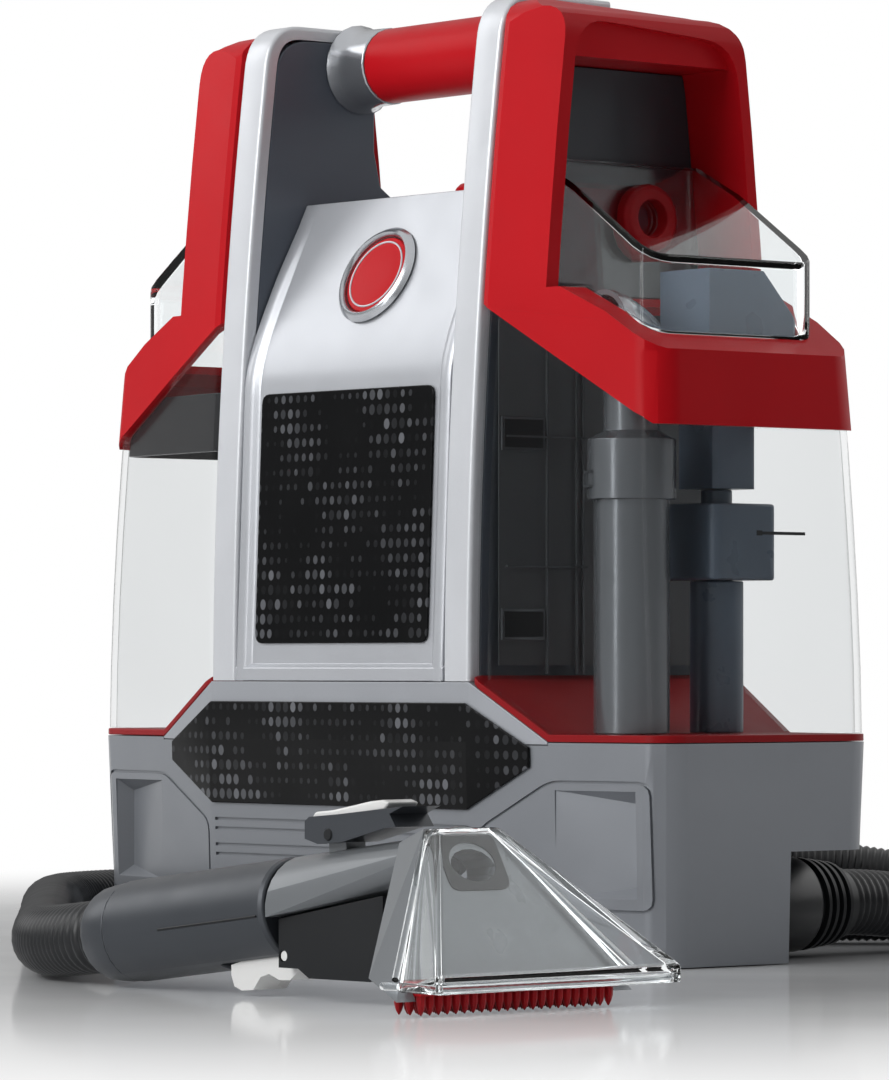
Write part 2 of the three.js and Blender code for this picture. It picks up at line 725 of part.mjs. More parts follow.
function makeTank(kind, side, rearAt, domeRear) {
  const tank = new THREE.Group();
  tank.scale.x = side;
  model.add(tank);
  const name = (piece) => `${kind}_tank_${piece}`;
  const everywhere = 200;

  const foot = [[0, shoulderHeight], ...shoulderLine(0), [everywhere, trayHeight]];
  const trayBand = between(shifted(foot, gap), shifted(foot, gap + trayThickness));
  const tray = wing(trayHeight - 1, shoulderHeight + 8, 0).intersect(trayBand);

  const bodySpace = between(shifted(foot, 2 * gap + trayThickness), shifted(beltLow, -gap));
  const body = tubeWing(trayHeight, beltLowInner + 1, bodyInset, bodyInset + clearWall).intersect(bodySpace);
  add(tank, name("body"), body, clear);

  const domeInner = right + 2 * gap + linerThickness;
  const domePlan = (inset) => rounded([
    [domeInner + inset, inset - domeFront], [domeSide - inset, inset - domeFront],
    [domeSide - inset, domeRear - inset], [domeInner + inset, domeRear - inset],
  ], [2, 9, 9, 2], 4);
  const deckPlate = wing(beltLowSide, beltTopInner + 2, -beltProud)
    .intersect(between(shifted(beltTop, -wall), beltTop))
    .subtract(prism("z", domePlan(clearWall), 0, everywhere * 2));
  const belt = tubeWing(beltLowSide - 2, beltTopInner + 2, -beltProud, beltThickness)
    .intersect(between(beltLow, beltTop))
    .add(deckPlate)
    .intersect(box(right, everywhere, -everywhere, everywhere, 0, everywhere * 2));

  const shoulder = new THREE.QuadraticBezierCurve(
    new THREE.Vector2(hoodOuter, hoodTop - hoodFall - 12), new THREE.Vector2(hoodOuter, hoodTop - hoodFall),
    new THREE.Vector2(hoodOuter - 12, hoodTop - hoodFall));
  const roofLine = [
    [0, beltLowInner], [hoodOuter, beltLowInner], ...shoulder.getPoints(6).map(({ x, y }) => [x, y]),
    [columnHalf + 6, hoodTop], [0, hoodTop + 1],
  ];
  const hoodSpace = wing(beltTopInner - 20, towerHeight + 2, -beltProud)
    .intersect(prism("y", roofLine, -200, 200));
  const insideFront = hoodLeg + wingAt(hoodOuter);
  const hood = prism("x", hoodOutline(-beltProud, 0, 0, rearAt), right, hoodOuter + 1)
    .subtract(prism("x", hoodOutline(insideFront, hoodRoof, hoodLeg, rearAt), 0, everywhere))
    .intersect(hoodSpace)
    .subtract(prism("z", domePlan(-gap), 0, domeTop + 2));
  const barOutline = hoodOutline(insideFront - 1, hoodRoof - 1, hoodLeg - 1, rearAt);
  const gripBar = prism("x", barOutline, right, hoodOuter - 4)
    .intersect(box(0, everywhere, -everywhere, everywhere, linerTop + gap, everywhere * 2));
  add(tank, name("frame"), belt.add(hood).add(gripBar), red);

  const inner = hoodOutline(insideFront + gap, hoodRoof + gap, hoodLeg + gap, rearAt);
  const outlet = rod(outletRadius, 0, hoodOuter, "x", 0, sealY, sealHeight);
  const liner = prism("x", inner, right + gap, right + gap + linerThickness)
    .intersect(box(0, everywhere, -everywhere, everywhere, beltTopInner + gap, linerTop));

  const domeSolid = (inset) => {
    const profile = [
      [domeInner + inset, beltLowSide], [domeSide - inset, beltLowSide], [domeSide - inset, domeKnee - inset],
      [hoodOuter - inset / 2, domeShoulder - inset], [domeInner + 6, domeTop - inset],
      [domeInner + inset, domeTop - inset],
    ];
    const plan = prism("z", domePlan(inset), 0, everywhere * 2);
    return prism("y", profile, -everywhere, everywhere).intersect(plan);
  };
  const aboveBelt = between(shifted(beltTop, gap), [[0, everywhere * 2], [everywhere, everywhere * 2]]);
  const dome = domeSolid(0).subtract(domeSolid(clearWall)).intersect(aboveBelt);
  return { tank, name, tray, liner, dome, outlet };
}

function makeDirtyTank() {
  const { tank, name, tray, liner, dome, outlet } =
    makeTank("dirty", 1, (z) => frontAt(z) - hoodRearSet, dirtyDomeRear);
  const floor = trayHeight + gap + trayThickness;
  const opening = rod(ductRadius + gap, trayHeight - 5, floor + 5, "z", pipeX, pipeY, 0);
  add(tank, name("tray"), tray.subtract(opening), red);
  add(tank, name("liner"), liner.subtract(outlet), darkGrey);
  add(tank, name("dome"), dome.subtract(outlet), clear);

  const foot = floor + gap;
  const inside = pipeRadius - pipeWall;
  const neckTop = elbowHeight - 20;
  const overTray = shifted([[0, shoulderHeight], ...shoulderLine(0)], 2 * gap + trayThickness);
  const belowTray = prism("y", [[0, 0], [shoulderFoot, 0], ...[...overTray].reverse()], -200, 200);
  add(tank, "standpipe", turned([
    [inside, foot], [pipeRadius, foot], [pipeRadius, pipeTop], [pipeCollarRadius, pipeTop],
    [pipeCollarRadius, pipeCollarTop - 3], [neckRadius, pipeCollarTop], [neckRadius, neckTop],
    [neckRadius - pipeWall, neckTop], [neckRadius - pipeWall, pipeCollarTop - 3], [inside, pipeCollarTop - 8],
  ], "z", pipeX, pipeY, 0, 24).subtract(belowTray), pipeGrey);

  // The elbow turns the rising stream over towards the column.
  const course = new THREE.CurvePath();
  const start = new THREE.Vector3(pipeX, pipeY, neckTop + gap);
  const bendEnd = new THREE.Vector3(pipeX - elbowReach, pipeY, elbowHeight);
  course.add(new THREE.QuadraticBezierCurve3(start, new THREE.Vector3(pipeX, pipeY, elbowHeight), bendEnd));
  course.add(new THREE.LineCurve3(bendEnd, new THREE.Vector3(pipeX - elbowReach - 6, pipeY, elbowHeight)));
  add(tank, "elbow", tube(course, elbowRadius, elbowRadius - pipeWall, 7, 16), pipeGrey);

  const cageBottom = floatBottom + floatHeight + floatRise + gap;
  const rodRadius = postRadius - 4;
  add(tank, "float_post", turned([
    [0, foot], [postRadius, foot], [postRadius, floatBottom - gap], [rodRadius, floatBottom - gap],
    [rodRadius, cageBottom - gap], [0, cageBottom - gap],
  ], "z", postX, postY, 0, 24), blueGrey);
  const square = (size, low, high) => {
    const h = size / 2;
    const outline = [[-h, -h], [h, -h], [h, h], [-h, h]].map(([x, y]) => [postX + x, postY + y]);
    return prism("z", rounded(outline, 4, 3), low, high);
  };
  const bore = rod(rodRadius + gap, 0, 400, "z", postX, postY, 0, 24);
  add(tank, "float", square(floatSize, floatBottom, floatBottom + floatHeight).subtract(bore), blueGrey);
  const baffle = prism("x", [
    [baffleFront, cageTop], [baffleFront, baffleTop], [baffleBack - 16, baffleTop], [baffleBack, baffleTop - 17],
    [baffleBack, cageTop],
  ], baffleFrom, baffleTo);
  add(tank, "float_cage", square(cageSize, cageBottom, cageTop + 1).add(baffle), blueGrey);

  const sealX = right + 3 * gap + linerThickness + clearWall;
  add(tank, "outlet_seal", turned([
    [outletRadius, 0], [sealRadius, 0], [sealRadius, 4], [sealRadius - 2, 5.5], [outletRadius, 5.5],
  ], "x", sealX, sealY, sealHeight), red);
}

function makeCleanTank() {
  const rearAt = (z) => cleanHoodRear + frontAt(z) - frontAt(towerHeight);
  const { tank, name, tray, liner, dome } = makeTank("clean", -1, rearAt, cleanDomeRear);
  const stem = 6;
  const floor = trayHeight + gap + trayThickness;
  const hole = rod(stem + gap, trayHeight - 5, floor + 5, "z", pipeX, pipeY, 0, 24);
  add(tank, name("tray"), tray.subtract(hole), red);
  add(tank, name("liner"), liner, darkGrey);
  add(tank, name("dome"), dome, clear);
  add(tank, name("valve"), turned([
    [0, -trayThickness], [stem, -trayThickness], [stem, 0], [10, 0], [10, 4], [4, 6], [4, 9], [0, 9],
  ], "z", pipeX, pipeY, floor + gap), black);
  add(tank, name("cap"), turned([
    [0, 0], [capRadius, 0], [capRadius, capHeight - 1], [capRadius - 1, capHeight], [0, capHeight],
  ], "z", capX, capY, beltTopInner + gap), darkGrey);
  const inset = bodyInset + clearWall + gap;
  const collarLow = beltLowSide - collarDrop;
  const collarTop = collarLow + collarHeight;
  const collar = tubeWing(collarLow - 1, collarTop + 1, inset, inset + 1.5)
    .intersect(box(0, 200, -200, 200, collarLow, collarTop))
    .intersect(between([[0, 0], [200, 0]], beltLow));
  add(tank, name("collar"), collar, darkGrey);
}

// ---- Hose, its connector and the duct to the dirty tank ----
function smooth(points) {
  return new THREE.CatmullRomCurve3(points.map((p) => new THREE.Vector3(...p)), false, "centripetal");
}

function tube(path, radius, hole, steps, sides) {
  const ring = (r) => Array.from({ length: sides }, (_, i) => {
    const turn = (2 * Math.PI * i) / sides;
    return new THREE.Vector2(r * Math.cos(turn), r * Math.sin(turn));
  });
  const shape = new THREE.Shape(ring(radius));
  if (hole) shape.holes.push(new THREE.Path(ring(hole)));
  return solid(new THREE.ExtrudeGeometry(shape, { steps, extrudePath: path }));
}

function makeSuctionPath() {
  const inlet = undercutY - wall - 5; // Y of the connector's inner end
  const course = smooth([
    [connectorX, inlet - gap, connectorHeight], [connectorX, inlet - 6, connectorHeight],
    [(connectorX + pipeX) / 2, pipeY + 7, connectorHeight + 11], [pipeX, pipeY, connectorHeight + 30],
    [pipeX, pipeY, trayHeight - 10], [pipeX, pipeY, trayHeight + 16],
  ]);
  add(model, "suction_duct", tube(course, ductRadius, ductRadius - ductWall, 14, 12), darkGrey);

  const r = connectorRadius;
  const throat = r - 5;
  add(model, "hose_connector", turned([
    [hoseBore, inlet], [throat, inlet], [throat, undercutY + gap], [r - 1, undercutY + gap],
    [r - 1, undercutY + 8], [r, undercutY + 9], [r, connectorEnd - 13], [r - 2, connectorEnd - 7],
    [hoseRadius + 2, connectorEnd - 4], [hoseRadius + 1, connectorEnd], [hoseBore, connectorEnd],
  ], "y", connectorX, 0, connectorHeight), black);

  add(model, "solution_line", tube(smooth([
    [-29, 4, 28], [-15, 4, 28], [10, 12, 16], [60, 10, 12], [85, 0, 16], [96, -6, 20],
  ]), 3, 0, 16, 8), white);
}

// The hose leaves backwards, winds inwards round a flat coil behind the machine, climbs over its
// outer turn and runs forward past the clean tank to the tool.
function hoseRoute() {
  const lying = hoseRadius + 0.5;
  const points = [
    [connectorX, connectorEnd + gap, connectorHeight], [connectorX, connectorEnd + 9, connectorHeight],
    [connectorX, 95, 17], [connectorX, 125, 14], [connectorX, 165, lying],
  ];
  const perTurn = 16;
  const last = perTurn * 1.5;
  for (let i = 0; i <= last; i++) {
    const turn = (2 * Math.PI * i) / perTurn;
    const r = coilOuter - (coilPitch * i) / perTurn;
    const climb = Math.max(0, i - last + 3) / 3;
    const z = lying + climb * coilPitch * 0.6;
    points.push([connectorX - coilOuter + r * Math.cos(turn), coilY + r * Math.sin(turn), z]);
  }
  points.push(
    [-111, 175, 38.5], [-123, 145, 36], [-141, 114, 22], [-159, 86, 13], [-171, 54, lying], [-177, 20, lying],
    [-178, -10, lying], [-174, -38, lying], [-161, -66, lying], [-142, -86, lying], [-95, -121, lying],
    [-48, -156, lying], [-1, -191, lying], [46, -226, lying], [60, -235.5, lying], [76, -243, 12.8],
    alongHandle(-cuffLength - 10), alongHandle(-cuffLength - gap),
  );
  return smooth(points);
}

// ---- Hand tool ----
// A point on the handle's middle line, a distance along it.
function alongHandle(distance) {
  const point = new THREE.Vector3(distance, 0, 0);
  point.applyAxisAngle(new THREE.Vector3(0, 1, 0), -Math.atan(handleRise));
  point.z += handleMiddle;
  point.applyAxisAngle(new THREE.Vector3(0, 0, 1), THREE.MathUtils.degToRad(toolYaw));
  return [point.x + toolX, point.y + toolY, point.z];
}

// Points round an ellipse across the tool at X, from one angle to another.
function across(x, half, rise, middle, from, to, count = 14) {
  return Array.from({ length: count + 1 }, (_, i) => {
    const turn = THREE.MathUtils.degToRad(from + ((to - from) * i) / count);
    return [x, half * Math.cos(turn), middle + rise * Math.sin(turn)];
  });
}

function pair([x, half, z]) {
  return [[x, -half, z], [x, half, z]];
}

function makeTool() {
  const tool = new THREE.Group();
  tool.position.set(toolX, toolY, 0);
  tool.rotation.z = THREE.MathUtils.degToRad(toolYaw);
  model.add(tool);
  const handle = new THREE.Group();
  handle.position.z = handleMiddle;
  handle.rotation.y = -Math.atan(handleRise);
  tool.add(handle);

  add(handle, "tool_cuff", turned([
    [hoseBore, -cuffLength], [cuffEndRadius, -cuffLength], [cuffEndRadius + 1.4, 3 - cuffLength],
    [handleRadius - 0.4, -5], [handleRadius - 0.4, -gap], [hoseBore, -gap],
  ], "x", 0, 0, 0), darkGrey);
  const ceiling = boreLift - handleBore - 2.2;
  const slotFrom = triggerPivot[0] - triggerReach - 6;
  const slotHalf = triggerHalf + gap;
  const slot = box(slotFrom, handleLength + 1, -slotHalf, slotHalf, -2 * handleRadius, ceiling);
  const grip = turned([
    [0, 0], [handleRadius, 0], [handleRadius, handleLength - 2], [handleRadius - 0.6, handleLength],
    [0, handleLength],
  ], "x", 0, 0, 0, 32)
    .subtract(rod(handleBore, -1, handleLength + 1, "x", 0, 0, boreLift))
    .subtract(slot);
  add(handle, "tool_handle", grip, darkGrey);

  // Head: a half-round neck that ends in a slanting flange, with the suction passage through both.
  const neckStart = handleLength + 3 * gap;
  const startMiddle = handleMiddle + handleRise * neckStart;
  const neckRise = (neckHigh - neckLow) / 2;
  const neck = hull([
    ...across(neckStart, handleRadius, handleRadius, startMiddle, -8, 188),
    ...across(neckEnd, neckHalf, neckRise, neckLow + neckRise, 0, 360, 20),
  ]);
  const brushTop = bristleLength + brushBar;
  const flange = hull([...flangeTop, ...flangeFoot].flatMap(pair))
    .subtract(box(brushFrom - gap, lipReach, -brushHalf - gap, brushHalf + gap, -1, brushTop + gap));
  const passage = hull([
    ...across(neckStart - 5, neckHalf - 4, 6, startMiddle + 6, 0, 360),
    ...across(flangeTop[1][0] + 20, neckHalf - 5, 5.5, neckHigh - 9, 0, 360),
  ]);
  const latchX = latchPivot[0];
  const pin = (radius, [x, z], half) => rod(radius, -half, half, "y", x, 0, z, 16);
  const lug = box(latchX - 4, latchX + 4, -latchLug, latchLug, startMiddle + 12, latchPivot[1] + 3);
  const head = neck.add(flange).add(lug).subtract(passage)
    .subtract(pin(latchPin + pinClearance, latchPivot, 20));
  add(tool, "tool_head", head, baseGrey);

  const [tx, tz] = triggerPivot;
  const underneath = (x) => {
    const low = startMiddle - handleRadius * Math.sin(THREE.MathUtils.degToRad(8));
    return low + ((neckLow - low) * (x - neckStart)) / (neckEnd - neckStart) - 2 * gap;
  };
  const valveFront = tx + 7;
  const valveLow = tz - 3.7;
  const valve = prism("y", [
    [neckStart + 2, valveLow], [valveFront, valveLow], [valveFront + 5, 7], [valveEnd - 6, 7],
    [valveEnd, 9.5], [valveEnd, underneath(valveEnd)], [neckStart + 2, underneath(neckStart)],
  ], -valveHalf, valveHalf)
    .subtract(box(neckStart - 1, valveFront, -slotHalf, slotHalf, 0, tz + 5.5))
    .subtract(pin(triggerPin + pinClearance, triggerPivot, 20));
  add(tool, "tool_valve", valve, black);
  const tip = tx - triggerReach;
  const triggerShape = [
    [tip, 6], [tip + 1.5, 2.6], [tip + 5, 1.4], [tip + 10.5, 1.8], [tip + 14, 6], [tip + 18, 7.2],
    [tip + 23, 5.4], [tx - 3, 5.6], [tx + 1.5, 8.8], [tx + 4.2, tz], [tx + 3, tz + 3.4], [tx - 1, tz + 4.2],
    [tx - 6, tz + 2.6], [tip, 9.3],
  ];
  add(tool, "trigger", prism("y", triggerShape, -triggerHalf, triggerHalf)
    .add(pin(triggerPin, triggerPivot, valveHalf - 0.5)), white);

  const [lx, lz] = latchPivot;
  const lever = prism("y", [
    [lx - 11, lz - 1.5], [lx - 5, lz - 3], [lx + 6, lz - 2.2], [neckEnd - 14, lz + 2.6],
    [neckEnd - 9, lz + 3], [neckEnd - 12, lz + 7], [lx + 34, lz + 9.4], [lx + 4, lz + 6.4],
    [lx - 9, lz + 5.4], [lx - 11, lz + 4],
  ], -latchHalf, latchHalf)
    .subtract(box(lx - 6, lx + 6, -latchLug - gap, latchLug + gap, 0, lz + 4))
    .add(pin(latchPin, latchPivot, latchHalf - 0.5));
  add(tool, "latch", lever, darkGrey);

  // The clear hood: a shell from the flange's face out to the lip, open below and behind.
  const [topX, topHalf, topZ] = flangeTop[1];
  const [footX, footHalf] = flangeFoot[1];
  const shell = (inset) => {
    const back = inset ? -4 : gap * 2;
    const bottom = lipBottom - inset * 2;
    return hull([
      [topX + back, topHalf - inset, topZ - inset], [hoodFrontTop - inset, topHalf - inset, topZ - inset],
      [footX + back, footHalf - inset, bottom], [lipReach - inset, lipHalf - inset, bottom],
      [lipReach - inset, lipHalf - inset, lipTop - inset],
    ].flatMap(pair));
  };
  add(tool, "tool_hood", shell(0).subtract(shell(clearWall)), clear);
  const bar = box(brushFrom, brushTo, -brushHalf, brushHalf, bristleLength, brushTop);
  const bristles = hull([
    [brushFrom + 0.5, brushHalf - 0.5, brushTop - 1], [brushTo - 0.5, brushHalf - 0.5, brushTop - 1],
    [brushFrom + 1.5, brushHalf - 1.5, 0], [brushTo - 1.5, brushHalf - 1.5, 0],
  ].flatMap(pair));
  add(tool, "brush", bar.add(bristles), deepRed);
}

makeBase();
makeColumn();
makeHandle();
makeInside();
makeDirtyTank();
makeCleanTank();
makeSuctionPath();
add(model, "hose", tube(hoseRoute(), hoseRadius, 0, 76, 8), black);
makeTool();

export default model;
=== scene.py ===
"""The looks of a portable carpet cleaner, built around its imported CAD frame.

Lengths are metres, or millimetres where a comment says so. +X right, +Y back, +Z up.
"""

import json
import math

import bmesh
import bpy
from mathutils import Matrix, Vector

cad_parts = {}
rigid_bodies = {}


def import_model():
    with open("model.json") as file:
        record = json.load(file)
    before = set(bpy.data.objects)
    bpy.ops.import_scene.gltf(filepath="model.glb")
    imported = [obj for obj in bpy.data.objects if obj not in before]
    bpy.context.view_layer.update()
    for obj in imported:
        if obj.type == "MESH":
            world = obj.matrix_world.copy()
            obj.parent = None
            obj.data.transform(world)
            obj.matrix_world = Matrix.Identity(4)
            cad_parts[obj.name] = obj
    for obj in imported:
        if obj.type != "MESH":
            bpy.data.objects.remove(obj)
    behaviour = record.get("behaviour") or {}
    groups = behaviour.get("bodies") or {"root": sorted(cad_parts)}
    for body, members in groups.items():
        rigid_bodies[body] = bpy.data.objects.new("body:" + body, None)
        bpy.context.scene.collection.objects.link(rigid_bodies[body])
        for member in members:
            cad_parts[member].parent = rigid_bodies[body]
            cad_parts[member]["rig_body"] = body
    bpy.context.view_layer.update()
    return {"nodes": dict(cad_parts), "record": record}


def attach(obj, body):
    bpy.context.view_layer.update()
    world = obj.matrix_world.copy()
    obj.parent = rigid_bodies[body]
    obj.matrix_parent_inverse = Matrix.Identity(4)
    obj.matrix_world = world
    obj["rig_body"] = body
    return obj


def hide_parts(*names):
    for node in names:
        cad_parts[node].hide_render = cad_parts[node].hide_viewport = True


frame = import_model()
scene = bpy.context.scene
nodes = frame["nodes"]
slot_of = {part["node"]: part["material_slot"] for part in frame["record"]["subparts"]}


def add_object(name, data):
    made = bpy.data.objects.new(name, data)
    scene.collection.objects.link(made)
    return made


# ---- Camera ----
CAMERA_PLACE = (1.5794, -1.3381, 0.1042)
CAMERA_HEADING = Vector((-0.766, 0.643, 0))
LENS = 186.7
SENSOR_WIDTH = 36
SHIFT_Y = 0.1154
NEAREST = 0.05


def make_camera():
    data = bpy.data.cameras.new("camera")
    data.lens = LENS
    data.sensor_width = SENSOR_WIDTH
    data.sensor_fit = "AUTO"
    data.shift_y = SHIFT_Y
    data.clip_start = NEAREST
    camera = add_object("camera", data)
    camera.location = CAMERA_PLACE
    camera.rotation_euler = CAMERA_HEADING.to_track_quat("-Z", "Y").to_euler()
    scene.camera = camera


make_camera()

# ---- Mesh helpers ----
CREASE = 40  # degrees of turn from which an edge of a new piece is sharp
CAD_CREASE = 30  # the same for a CAD node's shape, and the turn from which an edge is rounded
FLAT = 0.6  # degrees of turn up to which a CAD node's triangles are one face
MERGE = 5e-6  # the distance within which a new piece's points are one point
CAD_MERGE = 2e-6
ON_AXIS = 1e-6  # the least radius of a ring, whose points then merge into one
SHADING_WEIGHT = 80
LAST_BIT = 1e-9  # keeps a length inside its line


def shade_smooth(mesh, crease):
    mesh.polygons.foreach_set("use_smooth", [True] * len(mesh.polygons))
    mesh.set_sharp_from_angle(angle=math.radians(crease))


def piece(name, points, faces, crease=CREASE):
    """A mesh object, smooth except at edges that turn by more than the crease's degrees."""
    mesh = bpy.data.meshes.new(name)
    mesh.from_pydata([tuple(p) for p in points], [], faces)
    mesh.validate()
    bm = bmesh.new()
    bm.from_mesh(mesh)
    bmesh.ops.remove_doubles(bm, verts=bm.verts, dist=MERGE)
    bmesh.ops.recalc_face_normals(bm, faces=bm.faces)
    bm.to_mesh(mesh)
    bm.free()
    shade_smooth(mesh, crease)
    return add_object(name, mesh)


def finish_piece(made, body, slot, material=None, replaces=()):
    """Gives a piece its material, its slot's look unless another is given, hangs it on its body,
    and hides the CAD nodes that it stands for.
    """
    made.data.materials.clear()
    made.data.materials.append(material or MATERIALS[slot])
    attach(made, body)
    if replaces:
        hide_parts(*replaces)


def soften(made, width, segments=2):
    """Rounds the sharp edges and evens out the shading."""
    bevel = made.modifiers.new("edges", "BEVEL")
    bevel.width = width
    bevel.segments = segments
    bevel.limit_method = "ANGLE"
    bevel.angle_limit = math.radians(CAD_CREASE)
    bevel.use_clamp_overlap = True
    bevel.miter_outer = "MITER_ARC"
    normals = made.modifiers.new("shading", "WEIGHTED_NORMAL")
    normals.keep_sharp = True
    normals.weight = SHADING_WEIGHT


def refined(node, width, segments):
    """A copy of a CAD node's shape with its triangles joined into faces and its edges rounded."""
    bm = bmesh.new()
    bm.from_mesh(nodes[node].data)
    bmesh.ops.remove_doubles(bm, verts=bm.verts, dist=CAD_MERGE)
    bmesh.ops.dissolve_limit(
        bm, angle_limit=math.radians(FLAT), verts=bm.verts, edges=bm.edges, delimit={"NORMAL"})
    mesh = bpy.data.meshes.new(f"{node}_shape")
    bm.to_mesh(mesh)
    bm.free()
    shade_smooth(mesh, CAD_CREASE)
    made = add_object(f"{node}_shape", mesh)
    soften(made, width, segments)
    return made


def centripetal(points, per_piece):
    """Points along the centripetal Catmull-Rom curve through the points given."""
    pts = [Vector(p) for p in points]
    pts = [2 * pts[0] - pts[1], *pts, 2 * pts[-1] - pts[-2]]
    line = []
    for a, b, c, d in zip(pts, pts[1:], pts[2:], pts[3:]):
        t0 = 0
        t1 = t0 + (b - a).length ** 0.5
        t2 = t1 + (c - b).length ** 0.5
        t3 = t2 + (d - c).length ** 0.5
        for i in range(per_piece):
            t = t1 + (t2 - t1) * i / per_piece
            ab = a.lerp(b, (t - t0) / (t1 - t0))
            bc = b.lerp(c, (t - t1) / (t2 - t1))
            cd = c.lerp(d, (t - t2) / (t3 - t2))
            abc = ab.lerp(bc, (t - t0) / (t2 - t0))
            bcd = bc.lerp(cd, (t - t1) / (t3 - t1))
            line.append(abc.lerp(bcd, (t - t1) / (t2 - t1)))
    line.append(pts[-2])
    return line


def evenly(line, step):
    """The same line with its points about a step apart, all equally far."""
    lengths = [0]
    for a, b in zip(line, line[1:]):
        lengths.append(lengths[-1] + (b - a).length)
    count = round(lengths[-1] / step)
    points = []
    k = 0
    for i in range(count + 1):
        s = min(lengths[-1] * i / count, lengths[-1] - LAST_BIT)
        while lengths[k + 1] < s:
            k += 1
        share = (s - lengths[k]) / (lengths[k + 1] - lengths[k])
        points.append(line[k].lerp(line[k + 1], share))
    return points


def turns_round(sides):
    """Equal turns round a circle, in radians."""
    return [2 * math.pi * k / sides for k in range(sides)]


def ring_round(middle, across, other, radius, sides):
    """Points round a circle that lies in the plane of two directions."""
    return [
        middle + (across * math.cos(t) + other * math.sin(t)) * radius for t in turns_round(sides)]


def rings_between(rings, closed_ends=True):
    """Points and faces that join equal rings, with the two ends closed or joined to each other."""
    sides = len(rings[0])
    count = len(rings)
    points = [p for ring in rings for p in ring]
    faces = []
    for i in range(count - 1 if closed_ends else count):
        nxt = (i + 1) % count
        for k in range(sides):
            m = (k + 1) % sides
            faces.append((i * sides + k, i * sides + m, nxt * sides + m, nxt * sides + k))
    if closed_ends:
        faces.append(tuple(reversed(range(sides))))
        faces.append(tuple((count - 1) * sides + k for k in range(sides)))
    return points, faces


def sweep(name, line, radius_at, sides, crease=CREASE):
    """A tube round a line, closed at both ends, whose radius may change from point to point."""
    rings = []
    across = (line[1] - line[0]).orthogonal().normalized()
    for i, p in enumerate(line):
        along = (line[min(i + 1, len(line) - 1)] - line[max(i - 1, 0)]).normalized()
        across = (across - along * across.dot(along)).normalized()
        rings.append(ring_round(p, across, along.cross(across), radius_at(i), sides))
    return piece(name, *rings_between(rings), crease)


def turned(name, profile, place, axis, sides):
    """A solid of revolution. The profile's pairs are radius and distance along the axis."""
    along = Vector(axis).normalized()
    across = along.orthogonal().normalized()
    other = along.cross(across)
    hollow = profile[0][0] > 0 and profile[-1][0] > 0
    rings = [
        ring_round(Vector(place) + along * h, across, other, max(r, ON_AXIS), sides)
        for r, h in profile]
    return piece(name, *rings_between(rings, closed_ends=not hollow))


# ---- Hose ----
HOSE_RADIUS = 0.012
HOSE_SIDES = 24
RIB = 0.003
RIB_DEPTH = 0.0008
RIB_SHAPE = (0, 0.35, 1, 0.35)  # shares of the depth from one rib to the next
RIB_CREASE = 75
LYING = 0.0125
CONNECTOR = Vector((0.125, 0.066, 0.0185))
COIL_CENTRE = (-0.011, 0.210)
COIL_RADIUS = 0.136
COIL_PITCH = 0.026
COIL_STEPS = 16  # for each turn
COIL_TURNS = 1.5
CLIMB_STEPS = 3  # at the coil's end, where the hose rises to cross it
CLIMB_SHARE = 0.6  # of the pitch
CURVE_STEPS = 12  # between two of the route's points
TOOL_ORIGIN = Vector((0.127, -0.2474, 0))
TOOL_YAW = math.radians(3)
TOOL_TURN = Matrix.Rotation(TOOL_YAW, 3, "Z")
HANDLE_MIDDLE = 0.018
HANDLE_PITCH = math.atan(0.123)
CUFF_END = -0.0143


def on_tool(x, y, z):
    """A point given in the tool's own frame."""
    return TOOL_TURN @ Vector((x, y, z)) + TOOL_ORIGIN


def along_handle(distance, across=0, up=0):
    """A point on the middle line of the tool's handle, or beside and above it."""
    c, s = math.cos(HANDLE_PITCH), math.sin(HANDLE_PITCH)
    return on_tool(distance * c - up * s, across, distance * s + up * c + HANDLE_MIDDLE)


def hose_route():
    """From the connector into a coil behind the machine, round its left side and into the cuff."""
    route = [
        CONNECTOR + Vector((0, 0.0003, 0)), CONNECTOR + Vector((0, 0.009, 0)),
        (0.125, 0.095, 0.017), (0.125, 0.125, 0.014), (0.125, 0.165, LYING),
    ]
    last = round(COIL_STEPS * COIL_TURNS)
    for i in range(last + 1):
        turn = 2 * math.pi * i / COIL_STEPS
        r = COIL_RADIUS - COIL_PITCH * i / COIL_STEPS
        climb = max(0, i - last + CLIMB_STEPS) / CLIMB_STEPS
        route.append((
            COIL_CENTRE[0] + r * math.cos(turn), COIL_CENTRE[1] + r * math.sin(turn),
            LYING + climb * COIL_PITCH * CLIMB_SHARE,
        ))
    route += [
        (-0.111, 0.175, 0.0385), (-0.123, 0.145, 0.036), (-0.141, 0.114, 0.022),
        (-0.159, 0.086, 0.013), (-0.171, 0.054, LYING), (-0.177, 0.020, LYING),
        (-0.178, -0.010, LYING), (-0.174, -0.038, LYING), (-0.161, -0.066, LYING),
        (-0.142, -0.086, LYING), (-0.095, -0.121, LYING), (-0.048, -0.156, LYING),
        (-0.001, -0.191, LYING), (0.046, -0.226, LYING), (0.060, -0.2355, LYING),
        (0.076, -0.243, 0.0128), along_handle(CUFF_END - 0.0097), along_handle(CUFF_END),
    ]
    return route


def make_hose():
    line = evenly(centripetal(hose_route(), CURVE_STEPS), RIB / len(RIB_SHAPE))
    hose = sweep(
        "ribbed_hose", line,
        lambda i: HOSE_RADIUS - RIB_DEPTH * RIB_SHAPE[i % len(RIB_SHAPE)], HOSE_SIDES, RIB_CREASE)
    finish_piece(hose, "root", "hose_black", replaces=["hose"])


